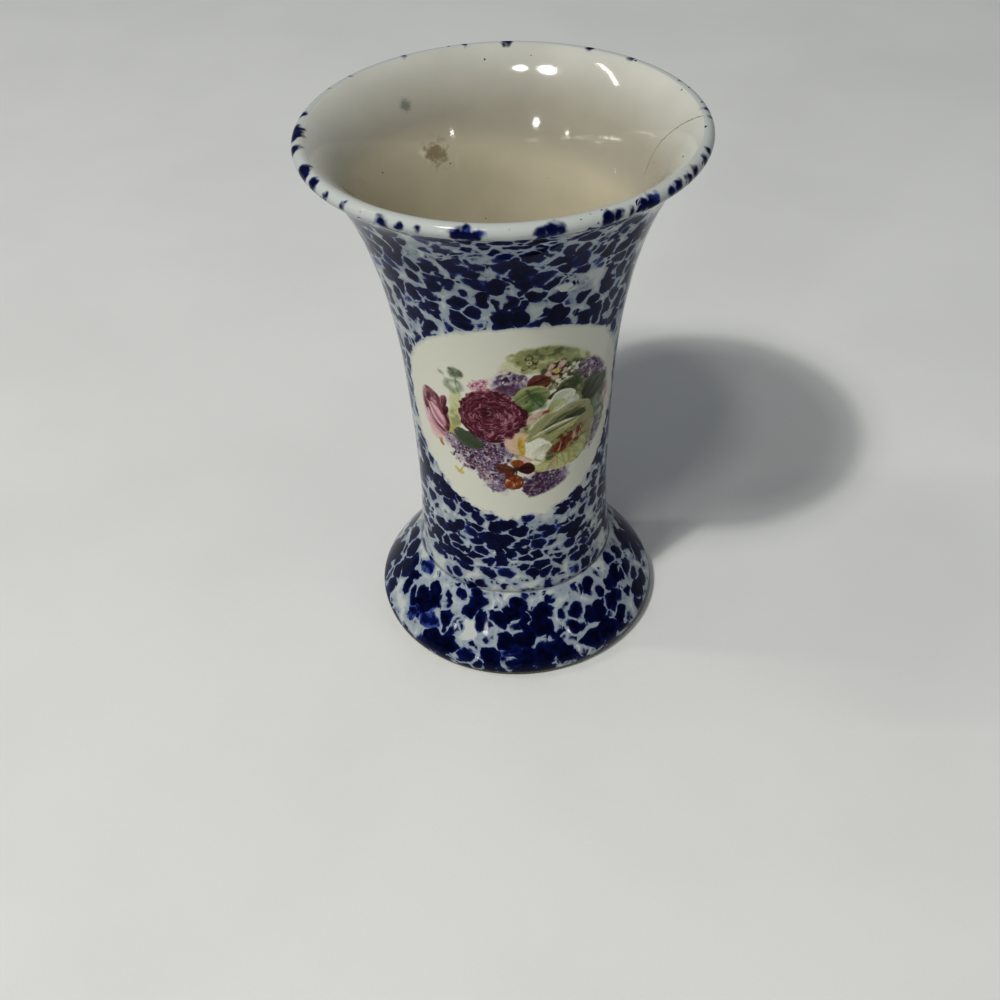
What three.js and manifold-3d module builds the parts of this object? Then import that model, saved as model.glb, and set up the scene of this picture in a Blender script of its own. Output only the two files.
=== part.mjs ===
// Pottery vase: a waisted body with a flared mouth, luted onto a spreading hollow foot,
// glazed inside and out, with an oval printed spray fired onto the front.
// Millimetres, +Z up, origin at the centre of the ring that the foot rests on, front towards -Y.
import * as THREE from 'three';
import { mergeVertices } from 'three/addons/utils/BufferGeometryUtils.js';
import Module from 'manifold-3d';

// Clay height from the resting ring to the lip's crown.
const VASE_HEIGHT = 135.4;

// Foot: a hollow bell that rests on its bottom ring.
const FOOT_HEIGHT = 19.6;
const FOOT_RADIUS = 36.3;
const FOOT_TUCK = 2.0;
const FOOT_TUCK_HEIGHT = 4.0;
const FOOT_SHOULDER = 1.8;
const FOOT_SLOPE_RUN = 4.2;
const FOOT_SLOPE_DEGREES = 40;
const REST_WIDTH = 3.2;
const HOLLOW_HANDLE = 7.5;

// Joint between foot and body.
const NECK_RADIUS = 25.0;
const JOINT_WIDTH = 4.8;
const SLIP_THICKNESS = 0.6;

// Body: waist and stem are steps up from the neck, and the flare takes the rest of the height.
const FLOOR_THICKNESS = 5.0;
const FLOOR_CORNER = 7.0;
const WAIST_RADIUS = 23.8;
const WAIST_RISE = 18.0;
const STEM_RISE = 37.0;
const STEM_TOP_RADIUS = 25.2;
const STEM_LEAN_DEGREES = 3.6;
const FLARE_LOWER_PULL = 14.0;
const FLARE_UPPER_PULL = 16.0;
const MOUTH_RADIUS = 44.7;
const LIP_DEGREES = 56;
const LIP_THICKNESS = 2.6;
const WALL_THICKNESS = 2.8;

// Glazes and print.
const OUTER_GLAZE = 0.4;
const INNER_GLAZE = 0.4;
const BARE_EDGE = 1.7;
const PRINT_HEIGHT = 48.0;
const PRINT_WIDTH = 46.0;
const PRINT_CENTRE_RISE = 54.0;
const PRINT_TURN_DEGREES = 5;
const PRINT_THICKNESS = 0.3;
const PRINT_CLEARANCE = 0.3;

// How finely the round shapes are faceted.
const SEGMENTS = 48;
const FOOT_STEPS = 5;
const TUCK_STEPS = 2;
const HOLLOW_STEPS = 5;
const WAIST_STEPS = 2;
const STEM_STEPS = 3;
const FLARE_STEPS = 7;
const OUTER_LIP_STEPS = 4;
const INNER_LIP_STEPS = 1;
const CORNER_STEPS = 3;
const OVAL_POINTS = 32;

const radians = THREE.MathUtils.degToRad;

const BODY_BASE = FOOT_HEIGHT + SLIP_THICKNESS;
const FLOOR_TOP = BODY_BASE + FLOOR_THICKNESS;
const WAIST_HEIGHT = BODY_BASE + WAIST_RISE;
const STEM_TOP = WAIST_HEIGHT + STEM_RISE;

// A point of an outline: r from the axis, z up.
function at(r, z) {
  return new THREE.Vector2(r, z);
}

// The point reached from p by going a distance in the direction that leans out from upright.
function along(p, distance, lean) {
  return at(p.x + distance * Math.sin(lean), p.y + distance * Math.cos(lean));
}

// Points along a curve, each with the direction that faces away from the clay on its outer side.
function trace(curve, steps) {
  const points = [];
  for (let i = 0; i <= steps; i += 1) {
    const point = curve.getPoint(i / steps);
    const tangent = curve.getTangent(i / steps);
    points.push({ point, out: at(tangent.y, -tangent.x) });
  }
  return points;
}

// The traced points moved square to the surface: outwards for a positive distance.
function offset(traced, distance) {
  return traced.map(({ point, out }) => point.clone().addScaledVector(out, distance));
}

// The foot's outside: a tucked-in bottom edge, then a slope up to the neck.
const tuckCentre = at(FOOT_RADIUS - FOOT_TUCK, FOOT_TUCK_HEIGHT);
const bareAngle = Math.asin(1 - BARE_EDGE / FOOT_TUCK_HEIGHT);
const bareCurve = new THREE.EllipseCurve(
  tuckCentre.x, tuckCentre.y, FOOT_TUCK, FOOT_TUCK_HEIGHT, -Math.PI / 2, -bareAngle);
const tuckCurve = new THREE.EllipseCurve(
  tuckCentre.x, tuckCentre.y, FOOT_TUCK, FOOT_TUCK_HEIGHT, -bareAngle, 0);
const footWidest = at(FOOT_RADIUS, FOOT_TUCK_HEIGHT);
const neck = at(NECK_RADIUS, FOOT_HEIGHT);
const slopeCurve = new THREE.CubicBezierCurve(
  footWidest,
  along(footWidest, FOOT_SHOULDER, 0),
  along(neck, -FOOT_SLOPE_RUN, -radians(FOOT_SLOPE_DEGREES)),
  neck);

// The foot's inside: from the resting ring up to the joint's inner edge.
const restInner = at(FOOT_RADIUS - FOOT_TUCK - REST_WIDTH, 0);
const jointInner = at(NECK_RADIUS - JOINT_WIDTH, FOOT_HEIGHT);
const hollowCurve = new THREE.CubicBezierCurve(
  restInner,
  along(restInner, HOLLOW_HANDLE, 0),
  along(jointInner, -HOLLOW_HANDLE, 0),
  jointInner);

// The body's outside: neck, waist, stem and flare, up to where the lip's round begins.
const bodyFoot = at(NECK_RADIUS, BODY_BASE);
const waist = at(WAIST_RADIUS, WAIST_HEIGHT);
const stemTop = at(STEM_TOP_RADIUS, STEM_TOP);
const lipRadius = LIP_THICKNESS / 2;
const lipLean = radians(LIP_DEGREES);
const lipCentre = at(MOUTH_RADIUS - lipRadius, VASE_HEIGHT - lipRadius);
const lipOut = at(Math.cos(lipLean), -Math.sin(lipLean));
const lipStart = lipCentre.clone().addScaledVector(lipOut, lipRadius);
const stemLean = radians(STEM_LEAN_DEGREES);
const waistCurve = new THREE.QuadraticBezierCurve(
  bodyFoot,
  along(waist, -WAIST_RISE / 2, 0),
  waist);
const stemCurve = new THREE.CubicBezierCurve(
  waist,
  along(waist, STEM_RISE / 3, 0),
  along(stemTop, -STEM_RISE / 3, stemLean),
  stemTop);
const flareCurve = new THREE.CubicBezierCurve(
  stemTop,
  along(stemTop, FLARE_LOWER_PULL, stemLean),
  along(lipStart, -FLARE_UPPER_PULL, lipLean),
  lipStart);

const bareTrace = trace(bareCurve, 1);
const tuckTrace = trace(tuckCurve, TUCK_STEPS);
const slopeTrace = trace(slopeCurve, FOOT_STEPS);
const wallTrace = [
  ...trace(waistCurve, WAIST_STEPS),
  ...trace(stemCurve, STEM_STEPS).slice(1),
  ...trace(flareCurve, FLARE_STEPS).slice(1),
];

// Points round the lip at a radius, between two angles measured from straight out.
function lipArc(radius, from, to, steps) {
  const points = [];
  for (let i = 0; i <= steps; i += 1) {
    const angle = from + (to - from) * (i / steps);
    points.push(at(lipCentre.x + radius * Math.cos(angle), lipCentre.y + radius * Math.sin(angle)));
  }
  return points;
}

// The lip from where the outside ends up to its crown.
function outerLip(extra) {
  return lipArc(lipRadius + extra, -lipLean, Math.PI / 2, OUTER_LIP_STEPS).slice(1);
}

// The lip from its crown to just short of where the inside begins.
function innerLip(extra) {
  return lipArc(lipRadius + extra, Math.PI / 2, Math.PI - lipLean, INNER_LIP_STEPS).slice(0, -1);
}

// The inner side of the wall from the lip down, a wall behind the outside.
// The wall's thickness changes into the lip's along the flare.
function innerWall(extra) {
  const first = wallTrace.length - 1 - FLARE_STEPS;
  return wallTrace
    .map(({ point, out }, i) => {
      const share = Math.max(0, i - first) / FLARE_STEPS;
      const wall = THREE.MathUtils.lerp(WALL_THICKNESS, LIP_THICKNESS, share);
      return point.clone().addScaledVector(out, -wall - extra);
    })
    .reverse();
}

// The inside from the lip down to the edge of the flat floor, with a rounded corner.
function interior(extra) {
  const floor = FLOOR_TOP + extra;
  const corner = FLOOR_CORNER - extra;
  const side = innerWall(extra).filter((p) => p.y > floor + corner);
  const wallRadius = side[side.length - 1].x;
  const centre = at(wallRadius - corner, floor + corner);
  const points = [];
  for (let i = 0; i <= CORNER_STEPS; i += 1) {
    const angle = (Math.PI / 2) * (i / CORNER_STEPS);
    points.push(at(centre.x + corner * Math.cos(angle), centre.y - corner * Math.sin(angle)));
  }
  return [...side, ...points];
}

// A body of revolution about +Z from an outline that runs anticlockwise in (r, z).
function turned(outline) {
  const geometry = new THREE.LatheGeometry(outline, SEGMENTS);
  geometry.rotateX(Math.PI / 2);
  return geometry;
}

// An outline closed by repeating its first point.
function ring(points) {
  return [...points, points[0].clone()];
}

// The outside of foot and body from the glaze line up to the lip's crown, a layer out from the clay.
// On the layer's face the crease at the neck is one point, where glaze pools.
function outside(extra) {
  const foot = [...offset(tuckTrace, extra), ...offset(slopeTrace, extra).slice(1)];
  const wall = offset(wallTrace, extra);
  if (extra > 0) {
    const below = foot.pop();
    const above = wall.shift();
    foot.push(below.clone().add(above).multiplyScalar(0.5));
  }
  return [...foot, ...wall, ...outerLip(extra)];
}

function footGeometry() {
  const outer = [...offset(bareTrace, 0), ...offset(tuckTrace, 0).slice(1), ...offset(slopeTrace, 0).slice(1)];
  const inner = trace(hollowCurve, HOLLOW_STEPS).map(({ point }) => point).reverse();
  return turned(ring([...outer, ...inner]));
}

function slipGeometry() {
  const inner = NECK_RADIUS - JOINT_WIDTH;
  return turned(ring([
    at(inner, FOOT_HEIGHT),
    at(NECK_RADIUS, FOOT_HEIGHT),
    at(NECK_RADIUS, BODY_BASE),
    at(inner, BODY_BASE),
  ]));
}

function bodyGeometry() {
  return turned([
    at(0, BODY_BASE),
    ...offset(wallTrace, 0),
    ...outerLip(0),
    ...innerLip(0).slice(1),
    ...interior(0),
    at(0, FLOOR_TOP),
  ]);
}

function outerGlazeGeometry() {
  return turned(ring([...outside(OUTER_GLAZE), ...outside(0).reverse()]));
}

function innerGlazeGeometry() {
  const clay = [...innerLip(0), ...interior(0), at(0, FLOOR_TOP)];
  const face = [...innerLip(INNER_GLAZE), ...interior(INNER_GLAZE), at(0, FLOOR_TOP + INNER_GLAZE)];
  return turned([...clay.reverse(), ...face]);
}

// A closed geometry as a solid that can be cut.
function solid(wasm, geometry) {
  const bare = geometry.clone();
  bare.deleteAttribute('normal');
  bare.deleteAttribute('uv');
  const merged = mergeVertices(bare);
  return new wasm.Manifold(new wasm.Mesh({
    numProp: 3,
    vertProperties: new Float32Array(merged.attributes.position.array),
    triVerts: new Uint32Array(merged.index.array),
  }));
}

// A cut solid as a geometry again.
function surface(cut) {
  const mesh = cut.getMesh();
  const geometry = new THREE.BufferGeometry();
  geometry.setAttribute('position', new THREE.BufferAttribute(new Float32Array(mesh.vertProperties), 3));
  geometry.setIndex(new THREE.BufferAttribute(new Uint32Array(mesh.triVerts), 1));
  geometry.computeVertexNormals();
  return geometry;
}

// The print: a thin shell round the glazed wall, cut to an oval at the front.
function printGeometry(wasm) {
  const inner = OUTER_GLAZE + PRINT_CLEARANCE;
  const shell = turned(ring([
    ...offset(wallTrace, inner + PRINT_THICKNESS),
    ...offset(wallTrace, inner).reverse(),
  ]));
  const oval = new THREE.Shape();
  oval.absellipse(0, BODY_BASE + PRINT_CENTRE_RISE, PRINT_WIDTH / 2, PRINT_HEIGHT / 2, 0, Math.PI * 2);
  const prism = new THREE.ExtrudeGeometry(oval, {
    depth: MOUTH_RADIUS,
    bevelEnabled: false,
    curveSegments: OVAL_POINTS,
  });
  prism.rotateX(Math.PI / 2);
  return surface(solid(wasm, shell).intersect(solid(wasm, prism)));
}

function piece(name, geometry, color, roughness) {
  const material = new THREE.MeshStandardMaterial({ color, roughness, metalness: 0 });
  const mesh = new THREE.Mesh(geometry, material);
  mesh.name = name;
  return mesh;
}

const wasm = await Module();
wasm.setup();

const vase = new THREE.Group();
vase.add(piece('foot', footGeometry(), 0x8f8c78, 0.85));
vase.add(piece('luting_slip', slipGeometry(), 0xcfc4ac, 0.9));
vase.add(piece('body', bodyGeometry(), 0xd8ccb4, 0.85));
vase.add(piece('outer_glaze', outerGlazeGeometry(), 0x5a679f, 0.12));
vase.add(piece('inner_glaze', innerGlazeGeometry(), 0xe4dccb, 0.15));

const print = piece('printed_spray', printGeometry(wasm), 0xc9a9a4, 0.2);
print.rotation.z = radians(PRINT_TURN_DEGREES);
vase.add(print);

export default vase;
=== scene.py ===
"""A small sponged earthenware vase with a printed spray of flowers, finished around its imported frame.

Sizes in the classes are millimetres and angles are degrees, as a potter would note them. Meshes are
metres, +Z up, with the origin under the middle of the foot and the printed front towards -Y.
"""

import sys
import logging
import math
from dataclasses import dataclass
from enum import Enum
from functools import cached_property

import bmesh
import bpy
import numpy as np
from bpy.types import Material, Mesh, Node, NodeSocket, NodeTree, Object
from mathutils import Matrix, Vector


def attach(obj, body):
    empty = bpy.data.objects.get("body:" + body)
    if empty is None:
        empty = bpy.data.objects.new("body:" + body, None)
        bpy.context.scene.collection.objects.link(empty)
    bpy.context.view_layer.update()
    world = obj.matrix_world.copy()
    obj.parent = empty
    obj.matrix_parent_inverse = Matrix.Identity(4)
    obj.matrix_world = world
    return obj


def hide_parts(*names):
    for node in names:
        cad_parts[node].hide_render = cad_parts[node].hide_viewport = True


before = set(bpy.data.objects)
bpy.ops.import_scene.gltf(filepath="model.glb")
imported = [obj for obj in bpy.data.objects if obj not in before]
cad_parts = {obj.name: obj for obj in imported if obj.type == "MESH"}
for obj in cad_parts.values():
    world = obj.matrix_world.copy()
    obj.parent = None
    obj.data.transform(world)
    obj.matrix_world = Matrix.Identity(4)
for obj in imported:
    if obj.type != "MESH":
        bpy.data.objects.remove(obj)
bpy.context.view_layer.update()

MM = 0.001  # a millimetre in metres
BODY = "root"
FRONT_RADIUS = 25.5  # the wall's radius behind the print
SHARP_ANGLE = 50.0  # edges that bend more than this stay sharp
SEGMENTS = 224  # faces round a turned piece
FAR = 9.0  # farther off than any stroke or fleck reaches

Pair = tuple[float, float]
Line = tuple[np.ndarray, np.ndarray]
Feed = float | str | tuple[float, ...] | Node | NodeSocket | NodeTree

log = logging.getLogger("vase")


def srgb(hex_colour: str) -> np.ndarray:
    """Red, green and blue from 0 to 1, from six hex digits after a hash sign."""
    return np.array([int(hex_colour[i:i + 2], 16) / 255.0 for i in (1, 3, 5)])


def to_linear(colour: np.ndarray) -> np.ndarray:
    """Turns sRGB shares from 0 to 1 into linear ones."""
    return np.where(colour <= 0.04045, colour / 12.92, ((np.clip(colour, 0, 1) + 0.055) / 1.055) ** 2.4)


def linear(hex_colour: str) -> tuple[float, float, float, float]:
    """Turns an sRGB hex colour into Blender's linear colour with a full alpha."""
    return *to_linear(srgb(hex_colour)).tolist(), 1.0


class Graph:
    """A node tree that is being filled."""

    def __init__(self, tree: NodeTree) -> None:
        """Keeps the tree."""
        self.tree = tree

    def put(self, kind: str, *inputs: Feed, **settings: Feed) -> Node:
        """Adds a node with its settings and links.

        Args:
            kind: The node's type, without the prefix that shader nodes have, and after a dot the
                operation where it has one.
            *inputs: What feeds the inputs that its settings leave in use, in order: a value, a hex
                colour, a socket, or a node for its first output in use.
            **settings: The node's own properties, in lower case, and any other inputs by their names,
                with a capital letter and underscores for spaces.

        Returns:
            The new node.
        """
        kind, _, operation = kind.partition(".")
        node = self.tree.nodes.new(kind if "Node" in kind else "ShaderNode" + kind)
        if operation:
            node.operation = operation
        for name, value in settings.items():
            if name[0].islower():
                setattr(node, name, value)
        live = [socket for socket in node.inputs if socket.enabled]
        named = {socket.name.replace(" ", "_"): socket for socket in reversed(live)}
        feeds = [*zip(live, inputs)] + [(named[n], v) for n, v in settings.items() if n[0].isupper()]
        for socket, value in feeds:
            if isinstance(value, Node):
                value = next(output for output in value.outputs if output.enabled)
            if isinstance(value, NodeSocket):
                self.tree.links.new(value, socket)
            else:
                socket.default_value = linear(value) if isinstance(value, str) else value
        return node


def lay_curve(node: Node, points: list[Pair]) -> None:
    """Lays a float curve through its points.

    Args:
        node: A float curve node.
        points: Two or more (input, output) pairs from 0 to 1, the first and the last at the curve's ends.
    """
    curve = node.mapping.curves[0]
    curve.points[0].location = points[0]
    curve.points[1].location = points[-1]
    for point in points[1:-1]:
        curve.points.new(*point)
    node.mapping.update()


def bezier(points: list[Pair], steps: int) -> Line:
    """Points along a Bezier curve and the directions square to it.

    Args:
        points: Three or four control points (r, z).
        steps: How many steps to take.

    Returns:
        The points, and the unit directions to the right of the way along, which is away from the clay.
    """
    control = np.array(points, dtype=float)
    t = np.linspace(0.0, 1.0, steps + 1)
    degree = len(control) - 1
    weights = [math.comb(degree, i) * t**i * (1 - t) ** (degree - i) for i in range(degree + 1)]
    spread = [math.comb(degree - 1, i) * t**i * (1 - t) ** (degree - 1 - i) for i in range(degree)]
    along = sum(w[:, None] * c for w, c in zip(weights, control))
    slope = sum(w[:, None] * c for w, c in zip(spread, np.diff(control, axis=0)))
    slope /= np.linalg.norm(slope, axis=1)[:, None]
    return along, np.stack([slope[:, 1], -slope[:, 0]], axis=1)


@dataclass(frozen=True)
class VaseForm:
    """The clay's shape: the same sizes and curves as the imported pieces, traced more finely."""

    height: float = 135.4
    foot_height: float = 19.6
    foot_radius: float = 36.3
    foot_tuck: float = 2.0
    foot_tuck_height: float = 4.0
    foot_shoulder: float = 1.8
    foot_slope_run: float = 4.2
    foot_slope: float = 40.0
    rest_width: float = 3.2
    hollow_handle: float = 7.5
    neck_radius: float = 25.0
    joint_width: float = 4.8
    slip: float = 0.6
    floor: float = 5.0
    floor_corner: float = 7.0
    waist_radius: float = 23.8
    waist_rise: float = 18.0
    stem_rise: float = 37.0
    stem_top_radius: float = 25.2
    stem_lean: float = 3.6
    flare_lower_pull: float = 14.0
    flare_upper_pull: float = 16.0
    mouth_radius: float = 44.7
    lip_angle: float = 56.0
    lip: float = 2.6
    wall: float = 2.8
    glaze: float = 0.4
    bare_edge: float = 1.7
    crease: float = 0.3
    corner_steps: int = 8
    floor_steps: int = 5

    @property
    def body_base(self) -> float:
        """Height of the body's underside."""
        return self.foot_height + self.slip

    @property
    def lip_centre(self) -> np.ndarray:
        """Middle of the lip's round section."""
        return np.array([self.mouth_radius - self.lip / 2, self.height - self.lip / 2])

    @property
    def glaze_line(self) -> float:
        """Where the glaze stops on the foot's rounded edge, as an angle up from straight out."""
        return -math.asin(1 - self.bare_edge / self.foot_tuck_height)

    @property
    def rest_radius(self) -> float:
        """Inner radius of the ring that the foot rests on."""
        return self.foot_radius - self.foot_tuck - self.rest_width

    def foot_edge(self, turn: np.ndarray) -> np.ndarray:
        """Points on the foot's rounded lower edge, by their angles up from straight out."""
        edge = np.stack([np.cos(turn) * self.foot_tuck, np.sin(turn) * self.foot_tuck_height], axis=1)
        return edge + (self.foot_radius - self.foot_tuck, self.foot_tuck_height)

    def tuck(self, steps: int) -> Line:
        """The foot's tucked-in lower edge, from the glaze line to the widest point.

        Args:
            steps: How many steps to take.

        Returns:
            Points and the directions out of the clay.
        """
        turn = np.linspace(self.glaze_line, 0.0, steps + 1)
        out = np.stack([np.cos(turn) / self.foot_tuck, np.sin(turn) / self.foot_tuck_height], axis=1)
        return self.foot_edge(turn), out / np.linalg.norm(out, axis=1)[:, None]

    def slope(self, steps: int) -> Line:
        """The foot's outside from its widest point up to the neck.

        Args:
            steps: How many steps to take.

        Returns:
            Points and the directions out of the clay.
        """
        lean, run = math.radians(self.foot_slope), self.foot_slope_run
        return bezier([
            (self.foot_radius, self.foot_tuck_height),
            (self.foot_radius, self.foot_tuck_height + self.foot_shoulder),
            (self.neck_radius + run * math.sin(lean), self.foot_height - run * math.cos(lean)),
            (self.neck_radius, self.foot_height)], steps)

    def hollow(self, steps: int) -> np.ndarray:
        """The foot's inside, from the joint down to the resting ring.

        Args:
            steps: How many steps to take.

        Returns:
            The points.
        """
        joint, rest, handle = self.neck_radius - self.joint_width, self.rest_radius, self.hollow_handle
        return bezier([
            (joint, self.foot_height), (joint, self.foot_height - handle), (rest, handle), (rest, 0.0)],
            steps)[0]

    def wall_out(self, steps: int) -> Line:
        """The body's outside from the neck over the waist, stem and flare to the lip's round.

        Args:
            steps: How many steps the waist and the stem take each; the flare takes twice as many.

        Returns:
            Points and the directions out of the clay.
        """
        lean, edge = math.radians(self.stem_lean), math.radians(self.lip_angle)
        waist_top = self.body_base + self.waist_rise
        stem_top = waist_top + self.stem_rise
        third, lower, upper = self.stem_rise / 3, self.flare_lower_pull, self.flare_upper_pull
        end = self.lip_centre + np.array([math.cos(edge), -math.sin(edge)]) * self.lip / 2
        waist = bezier([
            (self.neck_radius, self.body_base),
            (self.waist_radius, waist_top - self.waist_rise / 2),
            (self.waist_radius, waist_top)], steps)
        stem = bezier([
            (self.waist_radius, waist_top),
            (self.waist_radius, waist_top + third),
            (self.stem_top_radius - third * math.sin(lean), stem_top - third * math.cos(lean)),
            (self.stem_top_radius, stem_top)], steps)
        flare = bezier([
            (self.stem_top_radius, stem_top),
            (self.stem_top_radius + lower * math.sin(lean), stem_top + lower * math.cos(lean)),
            (end[0] - upper * math.sin(edge), end[1] - upper * math.cos(edge)),
            tuple(end)], steps * 2)
        points, outs = (np.concatenate([waist[i], stem[i][1:], flare[i][1:]]) for i in (0, 1))
        return points, outs

    def lip_arc(self, extra: float, start: float, end: float, steps: int) -> np.ndarray:
        """Points round the lip, a layer out from the clay.

        Args:
            extra: How far out from the clay.
            start: First angle, measured up from straight out.
            end: Last angle.
            steps: How many steps to take.

        Returns:
            The points.
        """
        turn = np.radians(np.linspace(start, end, steps + 1))
        ring = np.stack([np.cos(turn), np.sin(turn)], axis=1)
        return self.lip_centre + ring * (self.lip / 2 + extra)

    def interior(self, extra: float, steps: int) -> np.ndarray:
        """The inside from the lip down to the middle of the floor.

        Args:
            extra: How far in from the clay.
            steps: How many steps each stretch of the wall takes.

        Returns:
            The points.
        """
        points, outs = self.wall_out(steps)
        share = np.clip((np.arange(len(points)) - (len(points) - 1 - 2 * steps)) / (2 * steps), 0, 1)
        thickness = self.wall + (self.lip - self.wall) * share
        side = (points - outs * (thickness + extra)[:, None])[::-1]
        floor, corner = self.body_base + self.floor + extra, self.floor_corner - extra
        side = side[side[:, 1] > floor + corner]
        turn = np.radians(np.linspace(0.0, 90.0, self.corner_steps + 1))
        centre = np.array([side[-1, 0] - corner, floor + corner])
        rounded = centre + corner * np.stack([np.cos(turn), -np.sin(turn)], axis=1)
        inwards = np.linspace(centre[0], 0.0, self.floor_steps + 1)[1:]
        flat = np.stack([inwards, np.full(self.floor_steps, floor)], axis=1)
        return np.concatenate([side, rounded, flat])

    def outside(self, extra: float, steps: int) -> np.ndarray:
        """Foot and body outside from the glaze line to where the lip's round begins, a layer out.

        Args:
            extra: How far out from the clay.
            steps: How many steps each stretch takes.

        Returns:
            The points; a layer's face dips into the crease at the neck.
        """
        tuck, slope, wall = self.tuck(steps // 3), self.slope(steps), self.wall_out(steps)
        foot = np.concatenate([tuck[0], slope[0][1:]]) + extra * np.concatenate([tuck[1], slope[1][1:]])
        body = wall[0] + extra * wall[1]
        if extra <= 0:
            return np.concatenate([foot, body])
        crease = (foot[-1] + body[0]) / 2 - np.array([self.crease, 0.0])
        return np.concatenate([foot[:-1], [crease], body[1:]])

    def inside_line(self) -> Line:
        """Heights and radii of the glazed inside wall, lowest first."""
        line = self.interior(self.glaze, 24)[::-1]
        return line[:, 1], line[:, 0]

    def outside_line(self) -> Line:
        """Heights and radii of the glazed outside wall above the neck, lowest first."""
        points, outs = self.wall_out(60)
        return tuple((points + outs * self.glaze).T[::-1])


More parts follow.
